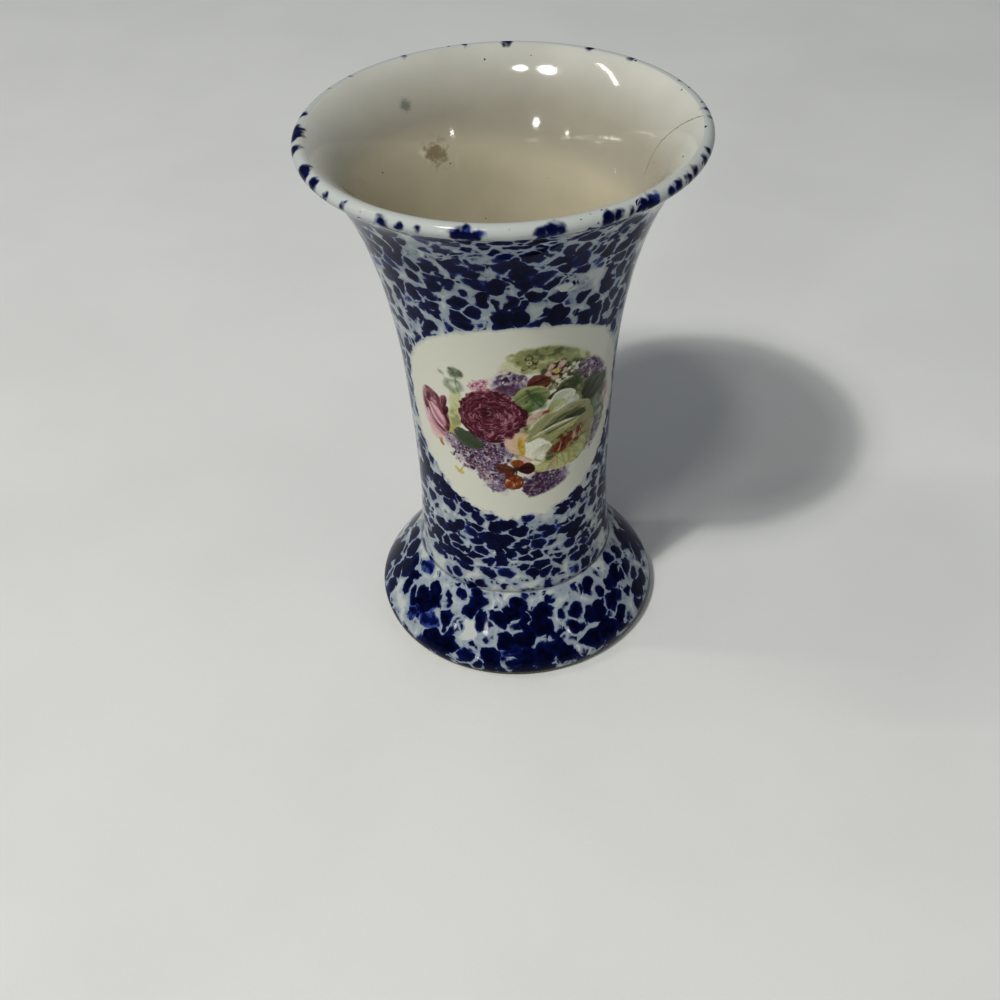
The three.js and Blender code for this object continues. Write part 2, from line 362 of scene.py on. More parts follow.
class Trees:
    """The geometry node trees that turn, warp and strew the pieces, made once and shared."""

    def __init__(self) -> None:
        """Builds the three trees."""
        self.hand_thrown = self._hand_thrown()
        self.turned = self._turned()
        self.strewn = self._strewn()

    @staticmethod
    def _start(name: str, sockets: dict[str, float | int | str]) -> tuple[Graph, bpy.types.NodeOutputs]:
        """Starts a tree with its named inputs and one geometry output.

        Args:
            name: The tree's name.
            sockets: Input name to its default number, or to its kind of socket where it has no default.

        Returns:
            The tree to fill and the sockets that give its inputs.
        """
        graph = Graph(bpy.data.node_groups.new(name, "GeometryNodeTree"))
        face = graph.tree.interface
        face.new_socket(name="Geometry", in_out="OUTPUT", socket_type="NodeSocketGeometry")
        for label, default in sockets.items():
            kind = default if isinstance(default, str) else type(default).__name__.title()
            socket = face.new_socket(name=label, in_out="INPUT", socket_type="NodeSocket" + kind)
            if kind is not default:
                socket.default_value = default
        return graph, graph.put("NodeGroupInput").outputs

    @staticmethod
    def _end(graph: Graph, shape: Node, finish: NodeSocket) -> NodeTree:
        """Ends a tree with real faces in their finish.

        Args:
            graph: The tree.
            shape: The node that gives the shape.
            finish: The socket that gives the material.

        Returns:
            The finished tree.
        """
        real = graph.put("GeometryNodeRealizeInstances", shape)
        graph.put("NodeGroupOutput", graph.put("GeometryNodeSetMaterial", Geometry=real, Material=finish))
        return graph.tree

    def _hand_thrown(self) -> NodeTree:
        """A slow uneven pull inwards and down, the same for every piece that passes through a point.

        Returns:
            The tree.
        """
        graph, given = self._start("hand_thrown", {
            "Geometry": "Geometry", "Unevenness": 0.006, "Waves per metre": 22.0, "Rim dip": 0.0005,
            "Height": 0.136, "Seed": 4.0})
        place = graph.put("GeometryNodeInputPosition")
        noise = graph.put("TexNoise", place, given["Seed"], given["Waves per metre"], 1.0,
                          noise_dimensions="4D")
        parts = graph.put("FunctionNodeSeparateColor", noise.outputs["Color"]).outputs
        pull = graph.put("Math.MULTIPLY", parts[0], given["Unevenness"])
        shrunk = graph.put("Math.SUBTRACT", 1.0, pull)
        x, y, z = graph.put("SeparateXYZ", place).outputs
        rise = graph.put("Math.DIVIDE", z, given["Height"])
        high = graph.put("Math.POWER", rise, 4.0)
        dip = graph.put("Math.MULTIPLY", parts[1], given["Rim dip"])
        fall = graph.put("Math.MULTIPLY", dip, high)
        moved = graph.put("CombineXYZ", graph.put("Math.MULTIPLY", x, shrunk),
                          graph.put("Math.MULTIPLY", y, shrunk), graph.put("Math.SUBTRACT", z, fall))
        warped = graph.put("GeometryNodeSetPosition", Geometry=given["Geometry"], Position=moved)
        graph.put("NodeGroupOutput", warped)
        return graph.tree

    def _turned(self) -> NodeTree:
        """A body of revolution from an outline, with its seam at the back.

        Returns:
            The tree.
        """
        graph, given = self._start("turned", {
            "Outline": "Object", "Rows": 100, "Segments": SEGMENTS, "Finish": "Material"})
        outline = graph.put("GeometryNodeObjectInfo", given["Outline"], transform_space="ORIGINAL")
        columns = graph.put("Math.ADD", given["Segments"], 1.0)
        grid = graph.put("GeometryNodeMeshGrid", 1.0, 1.0, columns, given["Rows"])
        place = graph.put("GeometryNodeInputPosition")
        across, along, _ = graph.put("SeparateXYZ", place).outputs
        last = graph.put("Math.SUBTRACT", given["Rows"], 1.0)
        share = graph.put("Math.ADD", along, 0.5)
        row = graph.put("Math.ROUND", graph.put("Math.MULTIPLY", share, last))
        sample = graph.put("GeometryNodeSampleIndex", outline.outputs["Geometry"], place, row,
                           data_type="FLOAT_VECTOR", domain="POINT")
        radius, _, up = graph.put("SeparateXYZ", sample).outputs
        angle = graph.put("Math.MULTIPLY", across, math.tau)
        back = graph.put("Math.MULTIPLY", radius, -1.0)
        sine, cosine = (graph.put("Math." + name, angle) for name in ("SINE", "COSINE"))
        swung = graph.put("CombineXYZ", graph.put("Math.MULTIPLY", radius, sine),
                          graph.put("Math.MULTIPLY", back, cosine), up)
        shape = graph.put("GeometryNodeSetPosition", Geometry=grid, Position=swung)
        closed = graph.put("GeometryNodeMergeByDistance", Geometry=shape, Distance=0.004 * MM)
        warped = graph.put("GeometryNodeGroup", closed, node_tree=self.hand_thrown)
        return self._end(graph, warped, given["Finish"])

    def _strewn(self) -> NodeTree:
        """Small flat beads strewn over a surface: kiln grit and pinholes in a glaze.

        Returns:
            The tree.
        """
        graph, given = self._start("strewn", {
            "Surface": "Object", "Per square metre": 3000.0, "Smallest": 0.00012, "Largest": 0.0003,
            "Flatness": 0.3, "Seed": 3, "Finish": "Material"})
        surface = graph.put("GeometryNodeObjectInfo", given["Surface"], transform_space="ORIGINAL")
        spots = graph.put("GeometryNodeDistributePointsOnFaces", Mesh=surface.outputs["Geometry"],
                          Density=given["Per square metre"], Seed=given["Seed"])
        bead = graph.put("GeometryNodeMeshUVSphere", 8, 5, 1.0)
        pressed = graph.put("CombineXYZ", 1.0, 1.0, given["Flatness"])
        flat = graph.put("GeometryNodeTransform", Geometry=bead, Scale=pressed)
        size = graph.put("FunctionNodeRandomValue", Min=given["Smallest"], Max=given["Largest"],
                         Seed=given["Seed"], data_type="FLOAT")
        strewn = graph.put("GeometryNodeInstanceOnPoints", Points=spots, Instance=flat,
                           Rotation=spots.outputs["Rotation"], Scale=size)
        return self._end(graph, strewn, given["Finish"])


def link(name: str, data: Mesh | bpy.types.Camera | bpy.types.Light) -> Object:
    """Puts new data into the scene.

    Args:
        name: The object's name.
        data: What it shows.

    Returns:
        The object.
    """
    made = bpy.data.objects.new(name, data)
    bpy.context.scene.collection.objects.link(made)
    return made


def grown(name: str, tree: NodeTree, given: dict[str, float | Object | Material],
          base: Mesh | None = None) -> Object:
    """Runs a geometry node tree and keeps its result as a plain piece.

    Args:
        name: The piece's name.
        tree: The geometry node tree.
        given: Input name to value.
        base: The mesh that the tree works on, where it works on one.

    Returns:
        The piece, at the origin, with no modifier.
    """
    host = link(name + "_host", base or bpy.data.meshes.new(name + "_host"))
    modifier = host.modifiers.new("grow", "NODES")
    modifier.node_group = tree
    labels = {item.name: item.identifier for item in tree.interface.items_tree if item.in_out == "INPUT"}
    for label, value in given.items():
        modifier[labels[label]] = value
    bpy.context.view_layer.update()
    solved = host.evaluated_get(bpy.context.evaluated_depsgraph_get())
    mesh = bpy.data.meshes.new_from_object(solved)
    mesh.name = name
    bpy.data.objects.remove(host)
    return link(name, mesh)


def turn_round(name: str, outline: np.ndarray, trees: Trees, finish: Material) -> Object:
    """Turns an outline into a round piece.

    Args:
        name: The piece's name.
        outline: Points (r, z) in millimetres, closed or from axis to axis.
        trees: The geometry node trees.
        finish: Its material.

    Returns:
        The piece.
    """
    mesh = bpy.data.meshes.new(name + "_outline")
    points = [(r * MM, 0.0, z * MM) for r, z in outline]
    mesh.from_pydata(points, [(i, i + 1) for i in range(len(points) - 1)], [])
    line = link(name + "_outline", mesh)
    piece = grown(name, trees.turned, {
        "Outline": line, "Rows": len(points), "Segments": SEGMENTS, "Finish": finish})
    bpy.data.objects.remove(line)
    close_and_face_out(piece.data)
    return piece


def close_and_face_out(mesh: Mesh) -> None:
    """Turns a closed mesh's faces outwards and shades it smooth but for its sharp edges.

    Args:
        mesh: The mesh.
    """
    work = bmesh.new()
    work.from_mesh(mesh)
    bmesh.ops.dissolve_degenerate(work, edges=work.edges, dist=1e-7)
    bmesh.ops.recalc_face_normals(work, faces=work.faces)
    if work.calc_volume(signed=True) < 0:
        bmesh.ops.reverse_faces(work, faces=work.faces)
    work.to_mesh(mesh)
    work.free()
    mesh.polygons.foreach_set("use_smooth", [True] * len(mesh.polygons))
    mesh.set_sharp_from_angle(angle=math.radians(SHARP_ANGLE))


class Wall(Graph):
    """A material's tree, with sockets that say where on the vase a point lies, in millimetres. The Scale of
    a noise on them is its bends to a millimetre."""

    @cached_property
    def point(self) -> Node:
        """The point itself."""
        return self.put("VectorMath.SCALE", self.put("TexCoord").outputs["Object"], 1 / MM)

    @cached_property
    def parts(self) -> bpy.types.NodeOutputs:
        """Its place along X, Y and Z."""
        return self.put("SeparateXYZ", self.point).outputs

    @cached_property
    def up(self) -> NodeSocket:
        """Its height above the table."""
        return self.parts[2]

    @cached_property
    def turned(self) -> Node:
        """Its turn from the front towards +X, in radians."""
        return self.put("Math.ARCTAN2", self.parts[0], self.put("Math.MULTIPLY", self.parts[1], -1.0))

    @cached_property
    def across(self) -> Node:
        """Its place along the curved front, from the middle."""
        return self.put("Math.MULTIPLY", self.turned, FRONT_RADIUS)

    @cached_property
    def out(self) -> Node:
        """Its distance from the vase's axis."""
        return self.put("VectorMath.LENGTH", self.put("VectorMath.MULTIPLY", self.point, (1.0, 1.0, 0.0)))

    def shaken(self, scale: float, reach: float) -> Node:
        """The point moved about at random, which makes round marks uneven.

        Args:
            scale: How many bends go to a millimetre.
            reach: How far it moves, in millimetres.

        Returns:
            The node that gives the moved point.
        """
        chance = self.put("TexNoise", self.point, Scale=scale, Detail=1.0).outputs["Color"]
        centred = self.put("VectorMath.SUBTRACT", chance, (0.5, 0.5, 0.5))
        return self.put("VectorMath.ADD", self.point, self.put("VectorMath.SCALE", centred, reach))

    def relief(self, wave: float, depth: float) -> Node:
        """The run and pinprick relief of a fired glaze.

        Args:
            wave: Length of the slow waves in millimetres.
            depth: Their depth in millimetres.

        Returns:
            A bump node.
        """
        fine = self.put("TexNoise", self.point, Scale=1.6, Detail=2.0)
        slow = self.put("TexNoise", self.point, Scale=1 / wave, Detail=1.0)
        height = self.put("Math.MULTIPLY_ADD", fine, 0.05, slow)
        return self.put("Bump", Height=height, Strength=1.0, Distance=depth * MM)

    def fired_gloss(self, colour: Node) -> Node:
        """The outside's glassy skin over its colour, the same over the sponging and the print."""
        return self.put("BsdfPrincipled", Base_Color=colour, Roughness=0.07, IOR=1.5,
                        Specular_IOR_Level=0.14, Normal=self.relief(7.0, 0.03))


class Finish:
    """A fired surface: builds its material once and hands out the same one again."""

    name: str = "finish"

    def material(self) -> Material:
        """Finds or builds the finish's material.

        Returns:
            The material.
        """
        known = bpy.data.materials.get(self.name)
        if known:
            return known
        made = bpy.data.materials.new(self.name)
        made.use_nodes = True
        made.node_tree.nodes.clear()
        wall = Wall(made.node_tree)
        wall.put("OutputMaterial", self.shade(wall))
        return made

    def shade(self, wall: Wall) -> Node:
        """Builds the shader in the material's tree and returns its last node."""
        raise NotImplementedError


@dataclass(frozen=True)
class SpongePress:
    """One pass of the sponge: rounded dabs of one size with white veins between them, some run together."""

    size: float
    skipped: float
    reach: float
    growth: float
    shift: tuple[float, float, float] = (0.0, 0.0, 0.0)
    scatter: float = 0.85
    spread: float = 0.12
    dry_to_wet: Pair = (0.65, 0.74)
    vein: float = 0.045
    run_together: float = -0.2
    rounding: float = 0.32

    def press(self, wall: Wall, point: Node, crowd: Node) -> tuple[Node, NodeSocket, Node]:
        """Adds the nodes of one pass.

        Args:
            wall: The material's tree.
            point: Where the surface is on the sponge's pattern, in millimetres.
            crowd: How closely the dabs are set.

        Returns:
            How many millimetres inside a dab a point lies, negative outside, each dab's chance, and how
            far the point is from the white veins.
        """
        moved = wall.put("VectorMath.ADD", point, self.shift)
        setting = {"Scale": 1 / self.size, "Randomness": self.scatter}
        cells = wall.put("TexVoronoi", moved, feature="F1", **setting)
        soft = wall.put("TexVoronoi", moved, feature="SMOOTH_F1", Smoothness=0.2, **setting)
        second = wall.put("TexVoronoi", moved, feature="F2", **setting)
        chance = wall.put("SeparateColor", cells.outputs["Color"]).outputs
        least = wall.put("Math.MULTIPLY_ADD", chance[0], self.spread, self.reach)
        reach = wall.put("Math.MULTIPLY_ADD", crowd, self.growth, least)
        inner = wall.put("Math.SUBTRACT", reach, soft)
        wet = wall.put("TexNoise", moved, Scale=0.55 / self.size, Detail=1.0)
        crowded = wall.put("Math.MULTIPLY_ADD", crowd, 0.2, wet)
        gap = wall.put("MapRange", crowded, *self.dry_to_wet, self.vein, self.run_together)
        half = wall.put("Math.MULTIPLY", wall.put("Math.SUBTRACT", second, cells), 0.5)
        away = wall.put("Math.SUBTRACT", half, gap)
        dab = wall.put("Math.SMOOTH_MIN", inner, away, self.rounding)
        left_out = wall.put("Math.LESS_THAN", chance[2], self.skipped)
        kept = wall.put("Math.MULTIPLY_ADD", left_out, -1.0, dab)
        inside, clear = (wall.put("Math.MULTIPLY", shares, self.size) for shares in (kept, away))
        return inside, chance[2], clear


@dataclass(frozen=True)
class LipDabs:
    """Single dabs set round the lip and over its crown, by degrees from the front and radius."""

    form: VaseForm
    spots: tuple[Pair, ...] = (
        (-149.0, 0.9), (-128.0, 0.6), (-118.0, 0.7), (-100.0, 1.3), (-91.0, 2.0), (-87.0, 2.2), (-79.0, 1.8),
        (-66.0, 2.3), (-59.0, 1.7), (-52.0, 0.8), (-45.0, 0.9), (-32.0, 1.4), (-27.0, 1.1), (-22.0, 0.7),
        (-12.0, 1.5), (-9.5, 1.7), (-7.0, 1.4), (8.5, 1.5), (11.0, 1.7), (13.5, 1.3), (26.0, 1.6),
        (29.0, 1.3), (33.0, 0.8), (37.0, 1.4), (40.0, 2.0), (47.0, 1.2), (50.0, 1.4), (55.0, 1.2),
        (59.0, 1.2), (66.0, 1.3), (70.0, 1.2), (89.0, 0.8), (94.0, 1.1), (114.0, 0.8), (136.0, 1.0),
        (151.0, 1.2), (178.0, 1.4), (-169.0, 0.9))
    side_tilt: float = 52.0
    tilt_swing: float = 45.0
    sunk: float = 0.3
    blend: float = 0.4

    def marks(self, wall: Wall) -> Node:
        """Adds the dabs: low on the outside at the front, over the crown at the back.

        Args:
            wall: The material's tree.

        Returns:
            How many millimetres inside a dab a point lies, negative outside.
        """
        uneven = wall.shaken(0.5, 2.4)
        radius, up = self.form.lip_centre
        found = None
        for azimuth, size in self.spots:
            turn = math.radians(azimuth)
            over = math.radians(self.side_tilt - self.tilt_swing * math.cos(turn))
            edge = radius + self.form.lip / 2 * math.cos(over)
            rise = up - self.sunk + self.form.lip / 2 * math.sin(over)
            middle = (edge * math.sin(turn), -edge * math.cos(turn), rise)
            more = wall.put("Math.SUBTRACT", size, wall.put("VectorMath.DISTANCE", uneven, middle))
            found = more if found is None else wall.put("Math.SMOOTH_MAX", found, more, self.blend)
        return found


@dataclass(frozen=True)
class SpongedGlaze(Finish):
    """Glossy tin-white lead glaze over cobalt dabbed on with a cut sponge: rounded ink-blue dabs that run
    together in places, blue bled into the thin white between them, and a bare ivory oval on the front."""

    form: VaseForm
    name: str = "sponged_lead_glaze"
    white: str = "#bec2bf"
    bled: str = "#98a2ab"
    ivory: str = "#d3d3c7"
    deep: str = "#04092a"
    cobalt: str = "#131f56"
    wash: str = "#4a5a90"
    layers: tuple[SpongePress, ...] = (
        SpongePress(5.0, 0.02, 0.09, 0.54),
        SpongePress(3.4, 0.60, 0.12, 0.46, (41.0, 17.0, 29.0)),
        SpongePress(1.9, 0.75, 0.04, 0.40, (13.0, 57.0, 5.0)))
    oval_across: float = 1.6
    oval_up: float = 73.6
    oval_half_width: float = 30.2
    oval_half_height: float = 29.3
    oval_edge: Pair = (-0.8, 1.0)
    oval_cut: float = 0.7
    ragged_up: Pair = (60.0, 98.0)
    ragged: Pair = (5.5, 1.6)
    dab_edge: Pair = (-0.14, 0.18)
    bleed_edge: Pair = (-1.5, 0.0)
    clean_lip: Pair = (130.0, 134.5)
    pale_dabs: Pair = (0.75, 1.0)
    thin_lip: Pair = (131.0, 134.0)
    # How wide the dark line along the crease at the neck is, and how dark: painted shade in the crease.
    crease_edge: Pair = (0.06, 0.34)
    crease_stain: float = 0.5
    wobble: Pair = (0.24, 3.6)
    blend: float = 0.4
    fray: float = 0.6
    lip_depth: float = 0.3
    lip_blend: float = 0.3
    # Where a dab is deepest, what each cause adds to the tone, and the tones at which the blues stand.
    full_depth: float = 0.9
    depth_tone: float = 0.4
    cloud_tone: float = 0.9
    pale_tone: float = -0.3
    lip_tone: float = 0.1
    wash_at: float = 0.22
    cobalt_at: float = 0.46
    deep_at: float = 0.9
    top: float = 136.0
    cover: tuple[Pair, ...] = (
        (0.0, 0.94), (13.0, 0.92), (17.5, 0.66), (22.0, 0.56), (27.0, 0.80), (42.0, 0.86),
        (104.0, 0.78), (124.0, 0.85), (131.0, 0.74), (133.0, 0.10), (134.5, -0.5), (136.0, -0.5))
    half_fineness: tuple[Pair, ...] = (
        (0.0, 0.5), (20.0, 0.51), (40.0, 0.65), (60.0, 0.66), (95.0, 0.585), (136.0, 0.58))

    def reserve(self, wall: Wall) -> Node:
        """How far inside the bare oval a point lies; its edge is clean above and rough below.

        Args:
            wall: The material's tree.

        Returns:
            The distance in millimetres, negative outside.
        """
        width, height = self.oval_half_width, self.oval_half_height
        side = wall.put("Math.DIVIDE", wall.put("Math.SUBTRACT", wall.across, self.oval_across), width)
        high = wall.put("Math.DIVIDE", wall.put("Math.SUBTRACT", wall.up, self.oval_up), height)
        reach = wall.put("VectorMath.LENGTH", wall.put("CombineXYZ", side, high))
        inside = wall.put("Math.MULTIPLY_ADD", reach, -height, height)
        centred = wall.put("Math.SUBTRACT", wall.put("TexNoise", wall.point, Scale=0.35, Detail=3.0), 0.5)
        ragged = wall.put("MapRange", wall.up, *self.ragged_up, *self.ragged)
        return wall.put("Math.MULTIPLY_ADD", centred, ragged, inside)

    def by_height(self, wall: Wall, amounts: tuple[Pair, ...]) -> Node:
        """An amount that changes up the vase.

        Args:
            wall: The material's tree.
            amounts: Heights and the amounts there.

        Returns:
            The amount.
        """
        curve = wall.put("FloatCurve", Value=wall.put("Math.DIVIDE", wall.up, self.top))
        lay_curve(curve, [(up / self.top, amount) for up, amount in amounts])
        return curve

    def crowding(self, wall: Wall) -> Node:
        """How closely the dabs are set: close on the foot and flare, sparse at the crease and the lip."""
        patchy = wall.put("Math.SUBTRACT", wall.put("TexNoise", wall.point, Scale=0.11, Detail=2.0), 0.5)
        return wall.put("Math.ADD", patchy, self.by_height(wall, self.cover))

    def dabs(self, wall: Wall) -> tuple[Node, NodeSocket]:
        """Where the sponge left colour.

        Args:
            wall: The material's tree.

        Returns:
            How many millimetres inside a dab a point lies, negative outside, and each dab's chance.
        """
        finer = wall.put("Math.MULTIPLY", self.by_height(wall, self.half_fineness), 2.0)
        drawn_in = wall.put("VectorMath.SCALE", wall.shaken(*self.wobble), finer)
        crowd = self.crowding(wall)
        marks, chance, clear = self.layers[0].press(wall, drawn_in, crowd)
        for layer in self.layers[1:]:
            more = wall.put("Math.MINIMUM", layer.press(wall, drawn_in, crowd)[0], clear)
            marks = wall.put("Math.SMOOTH_MAX", marks, more, self.blend)
        fray = wall.put("TexNoise", wall.point, Scale=1.1, Detail=2.0)
        centred = wall.put("Math.MULTIPLY_ADD", fray, self.fray, -self.fray / 2)
        sponged = wall.put("Math.ADD", marks, centred)
        single = wall.put("Math.MULTIPLY", LipDabs(self.form).marks(wall), self.lip_depth)
        return wall.put("Math.SMOOTH_MAX", sponged, single, self.lip_blend), chance

    def blue(self, wall: Wall, dab: Node, chance: NodeSocket) -> Node:
        """The cobalt's tone: deep in a dab's middle, thin at its edge, in pale dabs and over the lip.

        Args:
            wall: The material's tree.
            dab: How many millimetres inside a dab a point lies.
            chance: Each dab's chance.

        Returns:
            The colour.
        """
        depth = wall.put("MapRange", dab, From_Max=self.full_depth, To_Max=self.depth_tone)
        cloud = wall.put("TexNoise", wall.point, Scale=0.5, Detail=4.0)
        rich = wall.put("Math.MULTIPLY_ADD", cloud, self.cloud_tone, depth)
        pale = wall.put("MapRange", chance, *self.pale_dabs, 0.0, self.pale_tone)
        thin = wall.put("MapRange", wall.up, *self.thin_lip, 0.0, self.lip_tone)
        toned = wall.put("Math.ADD", rich, wall.put("Math.ADD", pale, thin))
        blue = wall.put("ValToRGB", toned)
        ramp = blue.color_ramp.elements
        ramp[0].position, ramp[0].color = self.wash_at, linear(self.wash)
        ramp[1].position, ramp[1].color = self.deep_at, linear(self.deep)
        ramp.new(self.cobalt_at).color = linear(self.cobalt)
        return blue

    def shade(self, wall: Wall) -> Node:
        """Builds the shader.

        Args:
            wall: The material's tree.

        Returns:
            Its last node.
        """
        inside = self.reserve(wall)
        marks, chance = self.dabs(wall)
        dab = wall.put("Math.MINIMUM", marks, wall.put("Math.MULTIPLY", inside, -self.oval_cut))
        ink, near = (wall.put("MapRange", dab, low, high, interpolation_type="SMOOTHSTEP")
                     for low, high in (self.dab_edge, self.bleed_edge))
        thick = wall.put("MapRange", wall.up, *self.clean_lip, 1.0, 0.0)
        # A dark cobalt line along the crease at the neck is painted shade where the crease is.
        crease = self.form.foot_height + self.form.slip / 2
        aside = wall.put("Math.ABSOLUTE", wall.put("Math.SUBTRACT", wall.up, crease))
        colour = self.white
        for share, over in (
                (wall.put("Math.MULTIPLY", near, thick), self.bled),
                (wall.put("MapRange", inside, *self.oval_edge), self.ivory),
                (ink, self.blue(wall, dab, chance)),
                (wall.put("MapRange", aside, *self.crease_edge, self.crease_stain, 0.0), self.deep)):
            colour = wall.put("Mix", share, colour, over, data_type="RGBA")
        return wall.fired_gloss(colour)


@dataclass(frozen=True)
class Spot:
    """A soft-edged mark on the inside wall, uneven by a share of its radius."""

    azimuth: float
    up: float
    radius: float
    ragged: float
    edge: Pair = (0.25, 1.15)

    def mark(self, wall: Wall, form: VaseForm) -> Node:
        """Adds the mark.

        Args:
            wall: The material's tree.
            form: The vase's shape.

        Returns:
            1 in its middle, 0 outside.
        """
        turn = math.radians(self.azimuth)
        out = float(np.interp(self.up, *form.inside_line()))
        centre = (out * math.sin(turn), -out * math.cos(turn), self.up)
        far = wall.put("VectorMath.DISTANCE", wall.point, centre)
        noise = wall.put("TexNoise", wall.point, Scale=2.4 / self.radius, Detail=4.0)
        off = wall.put("Math.MULTIPLY_ADD", noise, 2 * self.ragged * self.radius, far)
        low, high = (self.radius * (edge + self.ragged) for edge in self.edge)
        return wall.put("MapRange", off, low, high, 1.0, 0.0, interpolation_type="SMOOTHSTEP")


@dataclass(frozen=True)
class CreamGlaze(Finish):
    """Clear lead glaze over a cream-coloured body: glassy, white where it is thin over the lip and
    yellower lower down, with painted light and shade, a rubbed brown scuff and a hairline from the rim."""

    form: VaseForm
    name: str = "cream_lead_glaze"
    lip_white: str = "#cdcdc5"
    cream: str = "#b4b0a3"
    below_tide: str = "#cec8b5"
    brown: str = "#9b9079"
    grey: str = "#8d9286"
    hairline: str = "#8f8672"
    cobalt: str = "#121b3a"
    crack: tuple[Pair, ...] = (
        (118.6, 94.6), (120.7, 96.5), (123.8, 98.0), (126.9, 98.0), (129.1, 96.5), (131.8, 94.0),
        (134.4, 91.0), (136.0, 88.0))
    crack_span: float = 100.0  # the turn in degrees that stands for 1 on the crack's curve
    crack_waver: float = 0.012
    crack_edge: Pair = (0.0008, 0.0032)
    crack_fade: float = 3.0
    scuff: Spot = Spot(-147.6, 116.3, 3.2, 1.5)
    smudge: Spot = Spot(-140.8, 127.8, 1.9, 0.55)
    # The wavy line, tilted round the wall, below which the cream turns yellower and lighter: the change
    # across it is painted light and shade.
    tide: Pair = (118.6, 126.6)
    tide_turn: float = 1.05  # radians
    tide_tilt: float = -6.0
    tide_waves: float = 4.0
    # Where the cream turns to lip white: the thin glaze over the lip, and lower down painted light on the
    # upper wall.
    thin_lip: Pair = (124.0, 134.5)
    mottle: Pair = (0.95, 1.02)
    # Painted light and shade round the inside: the cream made lighter on the left and right and darker at the
    # front and back.
    side_shade: float = -0.08
    gloss: float = 0.08
    rubbed: float = 0.4
    dab_edge: Pair = (-0.45, 0.6)

    def hair(self, wall: Wall) -> Node:
        """The hairline crack that runs down from the rim on the right.

        Args:
            wall: The material's tree.

        Returns:
            1 on the crack, 0 off it.
        """
        low, high = self.crack[0][0], self.crack[-1][0]
        curve = wall.put("FloatCurve", Value=wall.put("MapRange", wall.up, low, high))
        lay_curve(curve, [((up - low) / (high - low), turn / self.crack_span) for up, turn in self.crack])
        waver = wall.put("TexNoise", wall.point, Scale=0.9, Detail=3.0)
        turn = wall.put("Math.MULTIPLY_ADD", waver, self.crack_waver, curve)
        here = wall.put("Math.MULTIPLY", wall.turned, math.degrees(1.0) / self.crack_span)
        off = wall.put("Math.ABSOLUTE", wall.put("Math.SUBTRACT", here, turn))
        line = wall.put("MapRange", off, *self.crack_edge, 1.0, 0.0)
        return wall.put("Math.MULTIPLY", line, wall.put("MapRange", wall.up, low, low + self.crack_fade))

    def wall_colour(self, wall: Wall) -> Node:
        """The cream, whiter to the lip and yellower below a wavy line, with painted light and shade: lighter
        below the line, lighter left and right, darker front and back.

        Args:
            wall: The material's tree.

        Returns:
            The colour.
        """
        cloud = wall.put("TexNoise", wall.point, Scale=0.09, Detail=4.0)
        # The cream is painted lighter and yellower below a wavy tilted line and kept darker above it, as
        # painted light and shade.
        lean = wall.put("Math.COSINE", wall.put("Math.ADD", wall.turned, self.tide_turn))
        tide = wall.put("Math.MULTIPLY_ADD", lean, self.tide_tilt, wall.up)
        wavy = wall.put("Math.MULTIPLY_ADD", cloud, self.tide_waves, tide)
        below = wall.put("MapRange", wavy, *self.tide, 1.0, 0.0, interpolation_type="SMOOTHSTEP")
        thin = wall.put("MapRange", wall.up, *self.thin_lip)
        colour = wall.put("Mix", below, self.cream, self.below_tide, data_type="RGBA")
        faded = wall.put("Mix", thin, colour, self.lip_white, data_type="RGBA")
        mottle = wall.put("MapRange", cloud, 0.3, 0.7, *self.mottle)
        # Painted light and shade over the random mottle: lighter on the left and right, darker front and
        # back.
        sides = wall.put("Math.COSINE", wall.put("Math.MULTIPLY", wall.turned, 2.0))
        uneven = wall.put("Math.MULTIPLY_ADD", sides, self.side_shade, mottle)
        return wall.put("VectorMath.SCALE", faded, uneven)

    def shade(self, wall: Wall) -> Node:
        """Builds the shader.

        Args:
            wall: The material's tree.

        Returns:
            Its last node.
        """
        scuff, smudge = (spot.mark(wall, self.form) for spot in (self.scuff, self.smudge))
        marks = LipDabs(self.form).marks(wall)
        dab = wall.put("MapRange", marks, *self.dab_edge, interpolation_type="SMOOTHSTEP")
        colour = self.wall_colour(wall)
        for share, over in ((scuff, self.brown), (smudge, self.grey), (self.hair(wall), self.hairline),
                            (dab, self.cobalt)):
            colour = wall.put("Mix", share, colour, over, data_type="RGBA")
        dull = wall.put("MapRange", scuff, To_Min=self.gloss, To_Max=self.rubbed)
        return wall.put("BsdfPrincipled", Base_Color=colour, Roughness=dull, IOR=1.55,
                        Normal=wall.relief(9.0, 0.06))


@dataclass(frozen=True)
class BareFoot(Finish):
    """Fired earthenware foot: the resting ring is ground flat, unglazed and stained olive-grey, and the
    hollow above it has a thin clear wash, so it is paler and half shiny."""

    name: str = "stained_bare_earthenware"
    ring: str = "#77735c"
    worn: str = "#a39b80"
    hollow: str = "#cfc7b2"
    wash_line: Pair = (4.2, 6.0)
    unevenness: float = 5.0
    matt: float = 0.85
    half_shiny: float = 0.28

    def shade(self, wall: Wall) -> Node:
        """Builds the shader.

        Args:
            wall: The material's tree.

        Returns:
            Its last node.
        """
        grain = wall.put("TexNoise", wall.point, Scale=2.2, Detail=6.0)
        patch = wall.put("TexNoise", wall.point, Scale=0.16, Detail=3.0)
        high = wall.put("Math.MULTIPLY_ADD", patch, self.unevenness, wall.up)
        washed = wall.put("MapRange", high, *self.wash_line, interpolation_type="SMOOTHSTEP")
        stain = wall.put("MapRange", grain, 0.35, 0.7)
        bare = wall.put("Mix", stain, self.ring, self.worn, data_type="RGBA")
        colour = wall.put("Mix", washed, bare, self.hollow, data_type="RGBA")
        rough = wall.put("MapRange", washed, To_Min=self.matt, To_Max=self.half_shiny)
        relief = wall.put("Bump", Height=grain, Strength=0.5, Distance=0.12 * MM)
        return wall.put("BsdfPrincipled", Base_Color=colour, Roughness=rough, IOR=1.5, Normal=relief)


